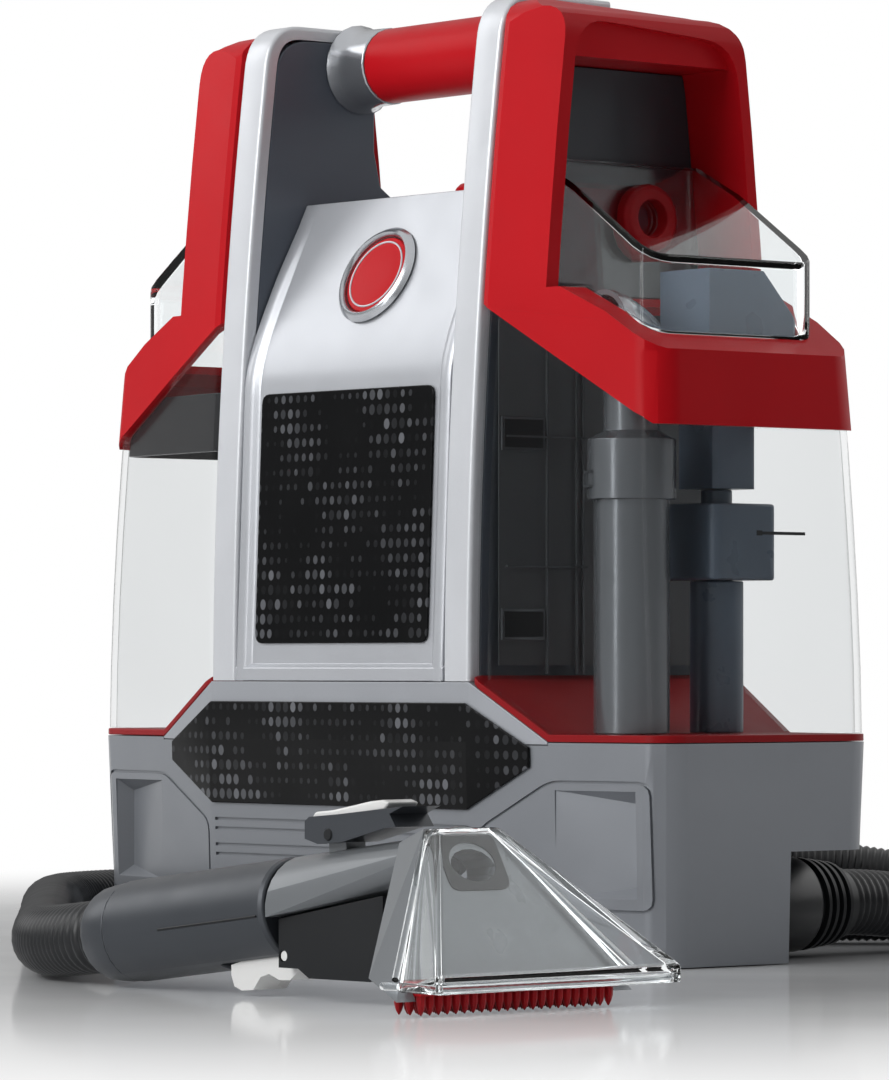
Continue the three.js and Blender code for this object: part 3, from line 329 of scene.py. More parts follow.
# ---- Materials ----
class Tree:
    """A node tree, with short ways to add and join nodes."""

    def __init__(self, tree):
        self.tree = tree

    def add(self, kind, **values):
        node = self.tree.nodes.new(kind)
        for key, value in values.items():
            setattr(node, key, value)
        return node

    def link(self, a, b):
        self.tree.links.new(a, b)

    def feed(self, socket, value):
        """Gives a socket another node's output, a number or a colour."""
        if isinstance(value, bpy.types.NodeSocket):
            self.link(value, socket)
        elif isinstance(value, (int, float)):
            socket.default_value = value
        else:
            socket.default_value = (*value, 1)

    def spread(self, value, low, high, from_low=0.35, from_high=0.65, kind="LINEAR"):
        """The value, carried over from one range to another."""
        node = self.add("ShaderNodeMapRange", interpolation_type=kind)
        keys = ("From Min", "From Max", "To Min", "To Max")
        for key, number in zip(keys, (from_low, from_high, low, high)):
            node.inputs[key].default_value = number
        self.link(value, node.inputs["Value"])
        return node.outputs["Result"]

    def maths(self, operation, *values):
        node = self.add("ShaderNodeMath", operation=operation)
        for socket, value in zip(node.inputs, values):
            self.feed(socket, value)
        return node.outputs[0]

    def plainly_seen(self):
        """The Light Path node, and 1 for what is seen straight or through clear plastic.

        What lights a matt surface isn't seen, so it counts as 0 there.
        """
        path = self.add("ShaderNodeLightPath")
        direct = self.maths("LESS_THAN", path.outputs["Diffuse Depth"], 0.5)
        through = self.maths("MULTIPLY", path.outputs["Is Transmission Ray"], direct)
        return path, self.maths("MAXIMUM", path.outputs["Is Camera Ray"], through)


class Shader(Tree):
    """A new material's node tree, which starts as a Principled shader."""

    def __init__(self, name):
        self.material = bpy.data.materials.new(name)
        self.material.use_nodes = True
        super().__init__(self.material.node_tree)
        self.tree.nodes.clear()
        self.bsdf = self.add("ShaderNodeBsdfPrincipled")
        self.out = self.add("ShaderNodeOutputMaterial")
        self.link(self.bsdf.outputs[0], self.out.inputs[0])
        self.place = self.add("ShaderNodeTexCoord").outputs["Object"]

    def set(self, **values):
        for key, value in values.items():
            self.bsdf.inputs[key.replace("_", " ")].default_value = value

    def noise(self, scale, detail=2, stretch=None):
        node = self.add("ShaderNodeTexNoise")
        node.inputs["Scale"].default_value = scale
        node.inputs["Detail"].default_value = detail
        source = self.place
        if stretch:
            mapping = self.add("ShaderNodeMapping")
            mapping.inputs["Scale"].default_value = stretch
            self.link(self.place, mapping.inputs[0])
            source = mapping.outputs[0]
        self.link(source, node.inputs["Vector"])
        return node.outputs["Fac"]

    def mix(self, share, a, b):
        node = self.add("ShaderNodeMix", data_type="RGBA")
        for socket, value in zip((node.inputs[0], node.inputs[6], node.inputs[7]), (share, a, b)):
            self.feed(socket, value)
        return node.outputs[2]

    def color(self, value):
        self.link(value, self.bsdf.inputs["Base Color"])

    def roughness(self, *noise, low, high, limits=(0.35, 0.65)):
        value = self.spread(self.noise(*noise), low, high, *limits)
        self.link(value, self.bsdf.inputs["Roughness"])

    def bump(self, height, distance):
        node = self.add("ShaderNodeBump")
        node.inputs["Distance"].default_value = distance
        node.inputs["Strength"].default_value = 1.0
        self.link(height, node.inputs["Height"])
        self.link(node.outputs[0], self.bsdf.inputs["Normal"])

    def blend(self, share, first, second):
        """Shows a mix of two shaders."""
        node = self.add("ShaderNodeMixShader")
        for a, b in zip((share, first.outputs[0], second.outputs[0]), node.inputs):
            self.link(a, b)
        self.link(node.outputs[0], self.out.inputs[0])


def scaled(color, factor):
    return tuple(min(1, c * factor) for c in color)


SHADE_NOISE = (9, 3)
POLISH_NOISE = (60, 4)
POLISH_LEAST, POLISH_MOST = 0.88, 1.12  # times the roughness
GRAIN_SCALE = 1400
FLAKE_SCALE = 2600
FLAKE_SIZE = 0.5
FLAKE_LIMITS = (0.1, 0.6)
FLAKE_LIGHT = 1.06
COAT_ROUGH = 0.12


def plastic(
    name, color, rough, grain, grain_scale=GRAIN_SCALE, metal=0.0, coat=0.0, variation=0.05,
    flakes=False, gloss=0.5,
):
    """Moulded plastic: a fine grain, slow changes of shade and polish, and flakes in paint."""
    s = Shader(name)
    slow = s.spread(s.noise(*SHADE_NOISE), 0, 1)
    shade = s.mix(slow, scaled(color, 1 - variation), scaled(color, 1 + variation))
    if flakes:
        cells = s.add("ShaderNodeTexVoronoi")
        cells.inputs["Scale"].default_value = FLAKE_SCALE
        s.link(s.place, cells.inputs["Vector"])
        sparkle = s.spread(cells.outputs["Distance"], FLAKE_SIZE, 0, *FLAKE_LIMITS)
        shade = s.mix(sparkle, shade, scaled(color, FLAKE_LIGHT))
    s.color(shade)
    s.roughness(
        *POLISH_NOISE, low=rough * POLISH_LEAST, high=rough * POLISH_MOST, limits=(0.3, 0.7))
    s.bump(s.noise(grain_scale, 3), grain)
    s.set(Metallic=metal, Coat_Weight=coat, Coat_Roughness=COAT_ROUGH, Specular_IOR_Level=gloss)
    return s.material


HAZE_NOISE = (30, 3)
WAVE_NOISE = (22, 2, (1, 1, 0.35))
WAVE_HEIGHT = 1e-5
TINT_SCALE = 5
TINT_LIGHT = 1.02
CLEAR_IOR = 1.38
THICK_ROUGH_LEAST, THICK_ROUGH_MOST = 0.006, 0.018
THIN_ROUGH_LEAST, THIN_ROUGH_MOST = 0.09, 0.13
MIRRORED_HEAD_ON = 0.006
MIRRORED_MORE = 0.9  # added when looked at along the surface
MIRROR_POWER = 5
MIRROR_COLOR = (0.9, 0.9, 0.9, 1)


def clear_look(s, color):
    """Gives clear plastic its slow waves, and returns its faintly changing tint."""
    s.bump(s.noise(*WAVE_NOISE), WAVE_HEIGHT)
    return s.mix(s.spread(s.noise(TINT_SCALE), 0, 1), color, scaled(color, TINT_LIGHT))


def thick_clear(name, color):
    """Thick clear plastic, which bends what is seen through it and lets lamps shine through."""
    s = Shader(name)
    s.roughness(*HAZE_NOISE, low=THICK_ROUGH_LEAST, high=THICK_ROUGH_MOST)
    s.color(clear_look(s, color))
    s.set(Transmission_Weight=1.0, IOR=CLEAR_IOR, Specular_IOR_Level=0.3)
    through = s.add("ShaderNodeBsdfTransparent")
    through.inputs["Color"].default_value = (*color, 1)
    lamps = s.add("ShaderNodeLightPath").outputs["Is Shadow Ray"]
    s.blend(lamps, s.bsdf, through)
    return s.material


def thin_clear(name, color):
    """A thin clear wall: seen straight through, and mirroring more the flatter the look at it."""
    s = Shader(name)
    s.set(Metallic=1.0, Base_Color=MIRROR_COLOR)
    s.roughness(*HAZE_NOISE, low=THIN_ROUGH_LEAST, high=THIN_ROUGH_MOST)
    through = s.add("ShaderNodeBsdfTransparent")
    s.link(clear_look(s, color), through.inputs["Color"])
    facing = s.add("ShaderNodeLayerWeight").outputs["Facing"]
    edge_on = s.maths("POWER", facing, MIRROR_POWER)
    mirrored = s.maths("MULTIPLY_ADD", edge_on, MIRRORED_MORE, MIRRORED_HEAD_ON)
    s.blend(mirrored, through, s.bsdf)
    return s.material


DOT_PITCH = 0.0043
ROW_PITCH = DOT_PITCH * 1.25
DOT_LEAST, DOT_GROWTH = 0.14, 0.22  # radius and what is added to it, as shares of the pitch
DOT_EDGE = 0.02
DOT_HEIGHT = 3e-5
DOT_FADE = 1.6
PATCH_SCALE = 0.16
PATCH_LIMITS = (0.38, 0.62)


def dotted(name, ground, dots):
    """Gloss black printed with rows of pale dots, which vary in size and brightness."""
    s = Shader(name)
    axes = s.add("ShaderNodeSeparateXYZ")
    s.link(s.place, axes.inputs[0])
    u = s.maths("DIVIDE", axes.outputs["X"], DOT_PITCH)
    v = s.maths("DIVIDE", axes.outputs["Z"], ROW_PITCH)
    cell = s.add("ShaderNodeCombineXYZ")
    s.link(s.maths("FLOOR", u), cell.inputs[0])
    s.link(s.maths("FLOOR", v), cell.inputs[1])
    white = s.add("ShaderNodeTexWhiteNoise", noise_dimensions="2D")
    s.link(cell.outputs[0], white.inputs["Vector"])
    du, dv = (s.maths("SUBTRACT", s.maths("FRACT", axis), 0.5) for axis in (u, v))
    squares = s.maths("ADD", s.maths("MULTIPLY", du, du), s.maths("MULTIPLY", dv, dv))
    patches = s.add("ShaderNodeTexNoise")
    patches.inputs["Scale"].default_value = PATCH_SCALE
    s.link(cell.outputs[0], patches.inputs["Vector"])
    slow = s.spread(patches.outputs["Fac"], 0, 1, *PATCH_LIMITS)
    size = s.maths("MULTIPLY_ADD", slow, DOT_GROWTH, DOT_LEAST)
    inside = s.maths("SUBTRACT", size, s.maths("SQRT", squares))
    bright = s.maths("MULTIPLY", s.maths("POWER", white.outputs["Value"], DOT_FADE), slow)
    share = s.maths("MULTIPLY", s.spread(inside, 0, 1, -DOT_EDGE, DOT_EDGE), bright)
    s.color(s.mix(share, ground, dots))
    s.roughness(40, 3, low=0.14, high=0.22)
    s.bump(share, DOT_HEIGHT)
    s.set(Specular_IOR_Level=0.12)
    return s.material


# The looks of the record's material slots
MATERIALS = {
    "silver_plastic": plastic(
        "silver_paint", (0.45, 0.465, 0.495), 0.32, 3e-6, metal=0.35, coat=0.1, flakes=True,
        gloss=0.4),
    "base_grey": plastic(
        "grey_paint", (0.225, 0.237, 0.258), 0.36, 3e-6, metal=0.4, coat=0.08, flakes=True,
        gloss=0.35),
    "dark_grey": plastic(
        "dark_plastic", (0.040, 0.045, 0.053), 0.36, 2e-5, 150, metal=0.3, gloss=0.4),
    "red_gloss": plastic("red_plastic", (0.47, 0.006, 0.011), 0.36, 2e-6, 1800, gloss=0.08),
    "red_satin": plastic("dark_red_plastic", (0.26, 0.005, 0.008), 0.36, 2e-6, 1800, gloss=0.15),
    "black_gloss": dotted("dotted_black", (0.0018, 0.0020, 0.0025), (0.15, 0.155, 0.17)),
    "black_plastic": plastic(
        "black_plastic", (0.008, 0.009, 0.0105), 0.36, 3e-6, 2400, gloss=0.25),
    "clear_plastic": thin_clear("clear_plastic", (0.935, 0.94, 0.942)),
    "pipe_grey": plastic(
        "pipe_plastic", (0.15, 0.16, 0.172), 0.24, 3e-6, 900, metal=0.5, coat=0.25, gloss=0.4),
    "blue_grey": plastic(
        "float_plastic", (0.10, 0.128, 0.165), 0.3, 2e-6, 900, metal=0.1, variation=0.03,
        gloss=0.4),
    "white_plastic": plastic("white_plastic", (0.70, 0.70, 0.69), 0.3, 2e-6, 2500),
    "hose_black": plastic("hose_plastic", (0.008, 0.009, 0.0105), 0.34, 3e-6, 2400, gloss=0.3),
    "rubber_black": plastic("rubber", (0.02, 0.02, 0.021), 0.7, 1e-5, 1500, gloss=0.25),
    "steel": plastic("steel", (0.55, 0.55, 0.56), 0.3, 4e-6, 1200, metal=1.0),
}
# Looks of single pieces, in place of their slot's
SIDE_GREY = plastic("side_plastic", (0.092, 0.107, 0.132), 0.4, 1e-5, 150, gloss=0.3)
SADDLE_GREY = plastic(
    "saddle_paint", (0.36, 0.375, 0.405), 0.34, 3e-6, metal=0.4, coat=0.1, flakes=True, gloss=0.4)
STRIP_SILVER = plastic(
    "strip_paint", (0.60, 0.615, 0.645), 0.34, 2e-6, metal=0.25, flakes=True, gloss=0.4)
CHROME = plastic("bright_paint", (0.42, 0.435, 0.46), 0.2, 1e-6, 2500, metal=0.85, coat=0.1)
INNER_WALL = plastic("inner_wall", (0.078, 0.083, 0.088), 0.34, 3e-6, 900, gloss=0.3)
CLEAR = thick_clear("thick_clear_plastic", (0.93, 0.95, 0.955))
GUNMETAL = plastic("gunmetal_paint", (0.15, 0.16, 0.17), 0.3, 3e-6, metal=0.25, gloss=0.35)
COLLAR = plastic("smoky_plastic", (0.016, 0.016, 0.018), 0.2, 2e-6, 900, gloss=0.4)


# ---- The machine's faces, in millimetres, as the CAD has them ----
MM = 0.001
HALF_DEPTH = 63.5
HALF_WIDTH = 162
TRAY = 77
SEAM = 98.3
TOWER_TOP = 343
TOWER_REAR = 3.5
FRONT_LEAN, FRONT_LEAN_FROM, FRONT_LEAN_OVER, FRONT_LEAN_POWER = 17, 98, 245, 1.9
SIDE_LEAN, SIDE_LEAN_OVER, SIDE_LEAN_POWER = 8, 136, 1.3
WIDE_EDGE = 1.5  # from this width on, a rounded edge gets more steps


def front_at(z):
    """How far the front and the back of the body stand from its middle."""
    share = max(0, (z - FRONT_LEAN_FROM) / FRONT_LEAN_OVER)
    return HALF_DEPTH - FRONT_LEAN * share ** FRONT_LEAN_POWER


def side_at(z):
    """How far the tanks' outer faces stand from the middle."""
    return HALF_WIDTH - SIDE_LEAN * max(0, (z - TRAY) / SIDE_LEAN_OVER) ** SIDE_LEAN_POWER


def mm(x, y, z):
    return Vector((x, y, z)) * MM


def tool_mm(x, y, z):
    """A point given in the tool's own frame, in millimetres."""
    return on_tool(x * MM, y * MM, z * MM)


def stand_in(node, width, material):
    """Shows a CAD node as its refined copy. The width of its edges is in millimetres."""
    made = refined(node, width * MM, 2 if width < WIDE_EDGE else 4)
    finish_piece(made, nodes[node]["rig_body"], slot_of[node], material, [node])


def joined(name, parts):
    """One piece from several closed shapes, each a pair of points and faces."""
    points = []
    faces = []
    for some_points, some_faces in parts:
        faces += [tuple(i + len(points) for i in face) for face in some_faces]
        points += some_points
    return piece(name, points, faces)


def block(low, high):
    """A closed shape between two rings of four points."""
    faces = [(0, 3, 2, 1), (4, 5, 6, 7), (0, 1, 5, 4), (1, 2, 6, 5), (2, 3, 7, 6), (3, 0, 4, 7)]
    return [*low, *high], faces


def cuboid(low, high):
    (x0, y0, z0), (x1, y1, z1) = low, high
    corners = ((x0, y0), (x1, y0), (x1, y1), (x0, y1))
    return block(*([Vector((x, y, z)) for x, y in corners] for z in (z0, z1)))


def bead(name, line, radius, body, slot, sides=10, material=None):
    """A round rod along a line in metres, with its radius in millimetres."""
    finish_piece(sweep(name, line, lambda i: radius * MM, sides), body, slot, material)


# ---- Uprights ----
STRIP_INNER, STRIP_OUTER = 60, 74
STRIP_DEPTH = 5
STRIP_ROUND = 1.6
CORNER_STEPS = 4
FRONT_STEPS = 16
TOP_ROUND = 17
TOP_PULL = 1.5
TOP_STEPS = 10


def strip_section():
    """A rectangle's outline with its two outer corners rounded, as pairs of x and height."""
    points = []
    for cx, start in ((STRIP_OUTER - STRIP_ROUND, 0), (STRIP_INNER + STRIP_ROUND, 90)):
        for i in range(CORNER_STEPS + 1):
            turn = math.radians(start + 90 * i / CORNER_STEPS)
            points.append((
                cx + STRIP_ROUND * math.cos(turn), -STRIP_ROUND + STRIP_ROUND * math.sin(turn)))
    return [*points, (STRIP_INNER, -STRIP_DEPTH), (STRIP_OUTER, -STRIP_DEPTH)]


def tower_path():
    """The towers' front line and rounded top, as (y, z) pairs."""
    bend = TOWER_TOP - TOP_ROUND
    heights = [SEAM + (bend - SEAM) * i / FRONT_STEPS for i in range(FRONT_STEPS + 1)]
    path = [(-front_at(z), z) for z in heights]
    a = Vector((path[-1][0], bend))
    b = Vector((a.x + TOP_PULL, TOWER_TOP))
    c = Vector((a.x + TOP_ROUND, TOWER_TOP))
    for i in range(1, TOP_STEPS + 1):
        t = i / TOP_STEPS
        path.append(tuple(a * (1 - t) ** 2 + b * 2 * t * (1 - t) + c * t ** 2))
    path.append((TOWER_REAR, TOWER_TOP))
    return path


def make_uprights():
    path = tower_path()
    section = strip_section()
    last = len(path) - 1
    for side, where in ((1, "right"), (-1, "left")):
        rings = []
        for i, (y, z) in enumerate(path):
            ahead = Vector(path[min(i + 1, last)]) - Vector(path[max(i - 1, 0)])
            out = Vector((-ahead.y, ahead.x)).normalized()
            if i == last:
                out = Vector((0, 1))
            if i == 0:
                out = Vector((-1, 0))
            rings.append([mm(side * x, y + out.x * n, z + out.y * n) for x, n in section])
        strip = piece(f"upright_{where}_strip", *rings_between(rings))
        finish_piece(strip, "root", "silver_plastic", STRIP_SILVER, [f"upright_{where}"])


# ---- Front panel ----
PANEL_HALF = 59.6
PANEL_FOOT = ((-61.5, SEAM), (-61.5, 104.5), (-61.2, 112))
PANEL_CURVE = ((-57.6, 207), (-56.1, 222), (-49.5, 234), (-29.5, 276))
PANEL_STEPS = 12
RIM_TOP = 275
RIM_FADE = 30
RIM_HEIGHT = 2.0
RIM_LEAST = 0.02
RIM_ROOT = 0.5
RIM_STEP = 6
RIM_WIDTH = 8.0
RIM_LEAN, RIM_LEAN_FROM = 0.2, 200  # above this height the rim also leans down
# How far from the panel's side edge, and the share of the rim's height there
RIM_RIDGE = (
    (0, 0), (0.3, 0.75), (1.0, 1), (4.6, 1), (5.9, 0.72), (7.0, 0.22), (RIM_WIDTH, 0))


def panel_face():
    """The recessed face of the front panel from its foot to the deck, as (y, z) pairs."""
    line = list(PANEL_FOOT)
    for i in range(PANEL_STEPS + 1):
        t = i / PANEL_STEPS
        weights = ((1 - t) ** 3, 3 * t * (1 - t) ** 2, 3 * t * t * (1 - t), t ** 3)
        a, b, c, d = (w * Vector(p) for w, p in zip(weights, PANEL_CURVE))
        line.append(tuple(a + b + c + d))
    return line


def make_panel_rim():
    """The soft raised border down both sides of the front panel, which fades out at the deck."""
    face = panel_face()
    dense = []
    for (y0, z0), (y1, z1) in zip(face, face[1:]):
        steps = max(1, round((z1 - z0) / RIM_STEP))
        dense += [(y0 + (y1 - y0) * i / steps, z0 + (z1 - z0) * i / steps) for i in range(steps)]
    for side, where in ((1, "right"), (-1, "left")):
        rings = []
        for y, z in dense:
            if z > RIM_TOP:
                break
            fade = min(1, max(0, (RIM_TOP - z) / RIM_FADE))
            height = RIM_HEIGHT * fade * fade * (3 - 2 * fade) + RIM_LEAST
            lean = RIM_LEAN * (z > RIM_LEAN_FROM)
            ring = [
                mm(side * (PANEL_HALF - u), y - h * height, z - h * height * lean)
                for u, h in RIM_RIDGE]
            ring += [mm(side * (PANEL_HALF - u), y + RIM_ROOT, z) for u in (RIM_WIDTH, 0)]
            rings.append(ring)
        rim = piece(f"panel_rim_{where}", *rings_between(rings))
        finish_piece(rim, "root", "silver_plastic")


# ---- Badge ----
BADGE_CENTRE = mm(0, -44.717, 246.425)
BADGE_OUT = Vector((0, -0.905, 0.425))
BADGE_SIDES = 64
# In metres: a name, the height over the panel, the profile, then the slot and what else it needs
BADGE_PIECES = (
    ("badge_disc", -0.0004, (
        (0, 0.0011), (0.006, 0.00105), (0.011, 0.0008), (0.0125, 0.0006), (0.0136, 0.0006),
        (0.0149, 0.0004), (0.0154, -0.0002), (0.0154, -0.0012), (0, -0.0012),
    ), "red_gloss", {"replaces": ["badge"]}),
    ("badge_line", 0.00025, (
        (0.0128, 0), (0.0130, 0.0003), (0.0134, 0.0003), (0.0136, 0),
    ), "silver_plastic", {}),
    ("badge_bezel", 0.0001, (
        (0.0157, 0), (0.0159, 0.0012), (0.0166, 0.0018), (0.0176, 0.0015), (0.0186, 0.0005),
        (0.0194, -0.0003), (0.0157, -0.0003),
    ), "silver_plastic", {"material": CHROME}),
)


def make_badge():
    """A bare domed badge in a raised silver ring, with a thin pale line inside its edge."""
    for name, height, profile, slot, more in BADGE_PIECES:
        made = turned(name, profile, BADGE_CENTRE + BADGE_OUT * height, BADGE_OUT, BADGE_SIDES)
        finish_piece(made, "root", slot, **more)


# ---- Tanks ----
FILL_LEVEL = 150
MARK_INSET, MARK_INNER, MARK_OUTER = 0.6, 0.2, 0.15
MARK_BARS = ((-1, 20, 0.55), (-3, -0.5, 0.9))  # each bar's ends and half its height
RIB_NEAR, RIB_FAR = 78.4, 79.4
RIB_HALF = 0.35
PIPE_X, PIPE_Y = 120, -27.5
PIPE_RADIUS = 11.8
PIPE_WALL = 1.8
PIPE_BEND = 12.2
BEND_FOOT, BEND_START = 206.4, 211
BEND_SIDES = 40
BEND_STEPS = 12
CATCH_TURN = math.radians(-118)
# Each bar's range along the collar, its range in height, and how far it stands out
CATCH_BARS = (
    (-4, 4, 166, 167, 0.9), (-4, 4, 171, 172, 0.9), (-4, -3, 166, 172, 0.9), (3, 4, 166, 172, 0.9),
    (-1, 1, 166, 172, 0.7),
)
COLLAR_INSIDE, COLLAR_OUTSIDE = 14.6, 15.6


def make_fill_line():
    """A bare mark for the highest level, with a thicker end."""
    x = side_at(FILL_LEVEL) - MARK_INSET
    mark = joined("fill_line", [
        cuboid(
            mm(x - MARK_INNER, y0, FILL_LEVEL - half), mm(x + MARK_OUTER, y1, FILL_LEVEL + half))
        for y0, y1, half in MARK_BARS])
    finish_piece(mark, "dirty_tank", "black_plastic")


def make_tank_ribs():
    """The tank's dark inner wall, with slim ribs and two shallow frames on it, whose hollows are
    painted shade as black panels.
    """
    ribs = [
        cuboid(mm(RIB_NEAR, y - RIB_HALF, 101), mm(RIB_FAR, y + RIB_HALF, 228))
        for y in (-31, -17, -14)]
    ribs += [
        cuboid(mm(RIB_NEAR, -50, z - RIB_HALF), mm(RIB_FAR, -12, z + RIB_HALF)) for z in (139, 185)]
    ribs += [
        cuboid(mm(RIB_NEAR, -52, z0), mm(RIB_FAR - 0.4, -32, z1))
        for z0, z1 in ((113, 124), (180, 192))]
    finish_piece(joined("tank_ribs", ribs), "dirty_tank", "pipe_grey")
    wall = joined("tank_inner_wall", [cuboid(mm(78.05, -53, 104), mm(78.35, 53, 226))])
    finish_piece(wall, "dirty_tank", "dark_grey", INNER_WALL)
    # Black panels inside the two frames: painted shade for their shallow hollows.
    for z0, z1 in ((114, 123), (181, 191)):
        hollow = cuboid(mm(RIB_NEAR + 0.1, -51, z0), mm(RIB_FAR - 0.2, -33, z1))
        finish_piece(joined(f"frame_hollow_shade_{z0}", [hollow]), "dirty_tank", "black_plastic")


def make_elbow():
    """The pipe's bend on the standpipe, with its open mouth turned to the front."""
    def ring(turn, r, drop=0):
        c, s = math.cos(turn), math.sin(turn)
        middle = Vector((PIPE_X, PIPE_Y - PIPE_BEND * (1 - c), BEND_START + PIPE_BEND * s - drop))
        around = ring_round(middle, Vector((1, 0, 0)), Vector((0, c, s)), r, BEND_SIDES)
        return [p * MM for p in around]

    inside = PIPE_RADIUS - PIPE_WALL
    turns = [math.pi / 2 * i / BEND_STEPS for i in range(BEND_STEPS + 1)]
    rings = [ring(0, PIPE_RADIUS, BEND_START - BEND_FOOT)] + [ring(t, PIPE_RADIUS) for t in turns]
    rings += [ring(turns[-1], inside)] + [ring(t, inside) for t in turns[-2:2:-1]]
    bent = piece("elbow_shape", *rings_between(rings))
    finish_piece(bent, "dirty_tank", "pipe_grey", replaces=["elbow"])


def make_catch():
    """The little catch window on the standpipe's collar."""
    out = Vector((math.cos(CATCH_TURN), math.sin(CATCH_TURN)))
    side = Vector((-out.y, out.x))
    bars = []
    for w0, w1, z0, z1, depth in CATCH_BARS:
        near, far = COLLAR_INSIDE, COLLAR_OUTSIDE + depth
        corners = [
            Vector((PIPE_X, PIPE_Y)) + out * r + side * w
            for w, r in ((w0, near), (w0, far), (w1, far), (w1, near))]
        bars.append(block(*([mm(p.x, p.y, z) for p in corners] for z in (z0, z1))))
    finish_piece(joined("collar_catch", bars), "dirty_tank", "pipe_grey")


# ---- Hand tool, in millimetres in its own frame ----
NECK_END = 140
BRUSH_FROM = NECK_END + 24
BRUSH_TO = NECK_END + 38
BRUSH_HALF = 41
BRUSH_MARGIN = 2.2
BRISTLES = 7
BAR_LOW, BAR_HIGH = BRISTLES - 1, BRISTLES + 2.5
TUFT_ROW = 23
TUFT_MARGIN = 2
TUFT_SIDES = 8
TUFT_PROFILE = ((1.35, BRISTLES), (1.5, 5.5), (1.45, 3.4), (1.0, 1.6), (0.35, 0.35), (0.08, 0.1))


def make_brush():
    """Three rows of pointed tufts under a bar."""
    points, faces = cuboid((BRUSH_FROM, -BRUSH_HALF, BAR_LOW), (BRUSH_TO, BRUSH_HALF, BAR_HIGH))
    parts = [([tool_mm(*p) for p in points], faces)]
    turns = turns_round(TUFT_SIDES)
    end = BRUSH_HALF - TUFT_MARGIN
    rows = (BRUSH_FROM + BRUSH_MARGIN, (BRUSH_FROM + BRUSH_TO) / 2, BRUSH_TO - BRUSH_MARGIN)
    for x in rows:
        for i in range(TUFT_ROW):
            y = -end + 2 * end * i / (TUFT_ROW - 1)
            parts.append(rings_between([
                [tool_mm(x + r * math.cos(t), y + r * math.sin(t), z) for t in turns]
                for r, z in TUFT_PROFILE]))
    finish_piece(joined("brush_tufts", parts), "root", "red_satin", replaces=["brush"])


MOUTH_MIDDLE = Vector((155.2, 43))
MOUTH_UP = Vector((-27, 50)).normalized()
MOUTH_OUT = Vector((50, 27)).normalized()
MOUTH_SIDES = 64
MOUTH_BORE = (9.3, 6.6, 2)  # half the width, half the height, and how square
MOUTH_EDGE = (12.5, 9.5, 7)
MOUTH_SUNK, MOUTH_PROUD = -0.1, 0.3


def make_mouth_shade():
    """A black band round the suction passage on the head's slanting face: painted shade for the
    passage's dark opening.
    """
    rings = []
    for (half_width, half_height, squareness), lift in (
            (MOUTH_BORE, MOUTH_SUNK), (MOUTH_EDGE, MOUTH_SUNK), (MOUTH_EDGE, MOUTH_PROUD),
            (MOUTH_BORE, MOUTH_PROUD)):
        ring = []
        for t in turns_round(MOUTH_SIDES):
            c, s = math.cos(t), math.sin(t)
            across = half_width * math.copysign(abs(c) ** (2 / squareness), c)
            up = half_height * math.copysign(abs(s) ** (2 / squareness), s)
            p = MOUTH_MIDDLE + MOUTH_UP * up + MOUTH_OUT * lift
            ring.append(tool_mm(p.x, across, p.y))
        rings.append(ring)
    # The black band is painted shade, standing in for the dark of the passage's opening.
    mouth = piece("painted_mouth_shade", *rings_between(rings, closed_ends=False))
    finish_piece(mouth, "root", "black_plastic")


HOOD_TOP_X, HOOD_TOP_HALF, HOOD_TOP_Z = NECK_END + 9, 13, 54.5
HOOD_FOOT_X, HOOD_FOOT_HALF, HOOD_FOOT_Z = NECK_END + 36, 49, 9.2
LIP_X, LIP_HALF = NECK_END + 55, 49.6
BEAD_STEP = 4
FOOT_BEAD, RIM_BEAD = 1.3, 1.1


def mirrored(half, middle):
    """A line across the tool, from one half's points and the middle one."""
    mirror = [(x, -y, z) for x, y, z in half]
    return [tool_mm(*p) for p in [*mirror, middle, *reversed(half)]]


def make_hood_beads():
    """The thick clear edge round the hood's foot and the rim against the head."""
    foot = [(x, y, HOOD_FOOT_Z) for x, y in (
        (HOOD_FOOT_X - 6, HOOD_FOOT_HALF), (HOOD_FOOT_X + 4, HOOD_FOOT_HALF + 0.2),
        (LIP_X - 6, LIP_HALF), (LIP_X - 1.4, LIP_HALF - 1.5), (LIP_X - 0.2, LIP_HALF - 6))]
    rim = [
        (HOOD_FOOT_X - 0.5, HOOD_FOOT_HALF, HOOD_FOOT_Z + 2),
        (HOOD_TOP_X + 2, HOOD_TOP_HALF + 1.5, HOOD_TOP_Z - 3)]
    foot_line = centripetal(mirrored(foot, (LIP_X - 0.2, 0, HOOD_FOOT_Z)), 8)
    rim_line = mirrored(rim, (HOOD_TOP_X + 2.5, 0, HOOD_TOP_Z))
    for name, line, radius in (
            ("hood_foot_bead", foot_line, FOOT_BEAD), ("hood_rim_bead", rim_line, RIM_BEAD)):
        bead(
            name, evenly(line, BEAD_STEP * MM), radius, "nozzle_hood", "clear_plastic",
            material=CLEAR)


LATCH_X, LATCH_Z = 100, 51.5
PAD_HALF, PAD_INNER = 6.4, 5.6
PAD_EDGE = 0.6
PAD_OUTLINE = (
    (-10, 4.6), (-8, 6.9), (0, 7.6), (8, 9.0), (17, 10.6), (23, 11.2), (26, 10.4), (24, 8.2),
    (10, 6.4), (2, 5.4),
)
PIN_FACE = 7.9
PIN_HEAD = (  # in metres
    (0, 0.0007), (0.0016, 0.0006), (0.0021, 0), (0, 0),
)
PIN_SIDES = 20
SIDES_OF_TOOL = ((-1, "a"), (1, "b"))


